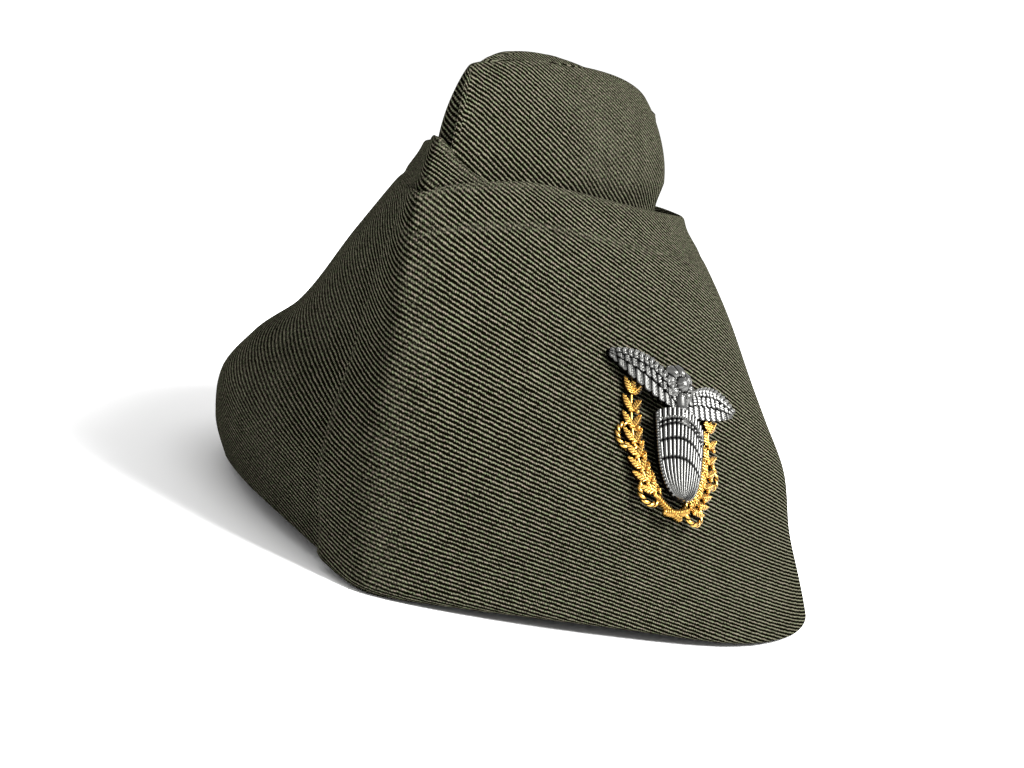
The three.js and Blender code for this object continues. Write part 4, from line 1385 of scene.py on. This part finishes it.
def make_floor():
    """A wide pale disc under the rim."""
    bpy.ops.mesh.primitive_circle_add(vertices=128, radius=FLOOR_RADIUS, fill_type="NGON")
    floor = bpy.context.object
    floor.name = "floor"
    material, _tree, shader = new_material("floor")
    shader.inputs["Base Color"].default_value = (FLOOR_TONE, FLOOR_TONE, FLOOR_TONE, 1)
    shader.inputs["Roughness"].default_value = 0.9
    floor.data.materials.append(material)


def camera_axes(settings):
    """The picture's right and up and the way back to the camera, with its roll."""
    turn, rise, roll = settings.azimuth, settings.elevation, settings.roll
    back = np.array([np.sin(turn) * np.cos(rise), -np.cos(turn) * np.cos(rise), np.sin(rise)])
    level = np.array([np.cos(turn), np.sin(turn), 0.0])
    up = np.cross(back, level)
    return level * np.cos(roll) + up * np.sin(roll), up * np.cos(roll) - level * np.sin(roll), back


def make_camera(settings, axes):
    """A camera that sees the pivot off its middle, as the picture does, with no shift."""
    right, up, back = axes
    focal = settings.lens / SENSOR * PICTURE_WIDTH
    pivot = np.array([CENTRE_X, 0.0, PIVOT_HEIGHT]) * MM
    eye = pivot + back * settings.distance
    ahead = unit(-right * PIVOT_RIGHT + up * PIVOT_DOWN - back * focal)
    side = unit(right - ahead * right.dot(ahead))
    data = bpy.data.cameras.new("camera")
    data.sensor_width = SENSOR
    data.lens = settings.lens
    data.clip_start = 0.05
    camera = bpy.data.objects.new("camera", data)
    bpy.context.scene.collection.objects.link(camera)
    turn = Matrix((side, np.cross(side, ahead), -ahead)).transposed()
    camera.matrix_world = Matrix.Translation(Vector(eye)) @ turn.to_4x4()
    bpy.context.scene.camera = camera


def make_lights(settings, axes):
    """A soft key light up to the right of the camera and a pale sky."""
    pivot = np.array([CENTRE_X, 0.0, PIVOT_HEIGHT]) * MM
    place = pivot + np.array(KEY_PLACE) @ np.array(axes)
    data = bpy.data.lights.new("key", "AREA")
    data.energy = settings.key_power
    data.size = KEY_SIZE
    key = bpy.data.objects.new("key", data)
    key.location = Vector(place)
    key.rotation_euler = (Vector(pivot) - Vector(place)).to_track_quat("-Z", "Y").to_euler()
    bpy.context.scene.collection.objects.link(key)
    world = bpy.data.worlds.new("sky")
    world.use_nodes = True
    sky = world.node_tree.nodes["Background"]
    sky.inputs["Color"].default_value = (1.0, 1.0, 1.0, 1.0)
    sky.inputs["Strength"].default_value = settings.sky
    bpy.context.scene.world = world
    bpy.context.scene.view_settings.view_transform = "Standard"


class CAP_PT_panel(bpy.types.Panel):
    """The cap's buttons and settings"""

    bl_idname = "CAP_PT_panel"
    bl_label = "Garrison cap"
    bl_space_type = "VIEW_3D"
    bl_region_type = "UI"
    bl_category = "Cap"

    def draw(self, context):
        for operator, group in GROUPS:
            box = self.layout.box()
            box.operator(operator.bl_idname)
            settings = getattr(context.scene, group)
            for name in settings.__annotations__:
                box.prop(settings, name)


GROUPS = ((CAP_OT_cloth, "cap_cloth"), (CAP_OT_badge, "cap_badge"), (CAP_OT_stage, "cap_stage"))
OPERATORS = tuple(operator for operator, _group in GROUPS)
CLASSES = (ClothSettings, BadgeSettings, StageSettings, *OPERATORS, CAP_PT_panel)


def register():
    for cls in CLASSES:
        bpy.utils.register_class(cls)
    bpy.types.Scene.cap_cloth = PointerProperty(type=ClothSettings)
    bpy.types.Scene.cap_badge = PointerProperty(type=BadgeSettings)
    bpy.types.Scene.cap_stage = PointerProperty(type=StageSettings)


def unregister():
    del bpy.types.Scene.cap_stage
    del bpy.types.Scene.cap_badge
    del bpy.types.Scene.cap_cloth
    for cls in reversed(CLASSES):
        bpy.utils.unregister_class(cls)


def main():
    register()
    bpy.ops.cap.cloth()
    bpy.ops.cap.badge()
    bpy.ops.cap.stage()


if __name__ == "__main__":
    main()
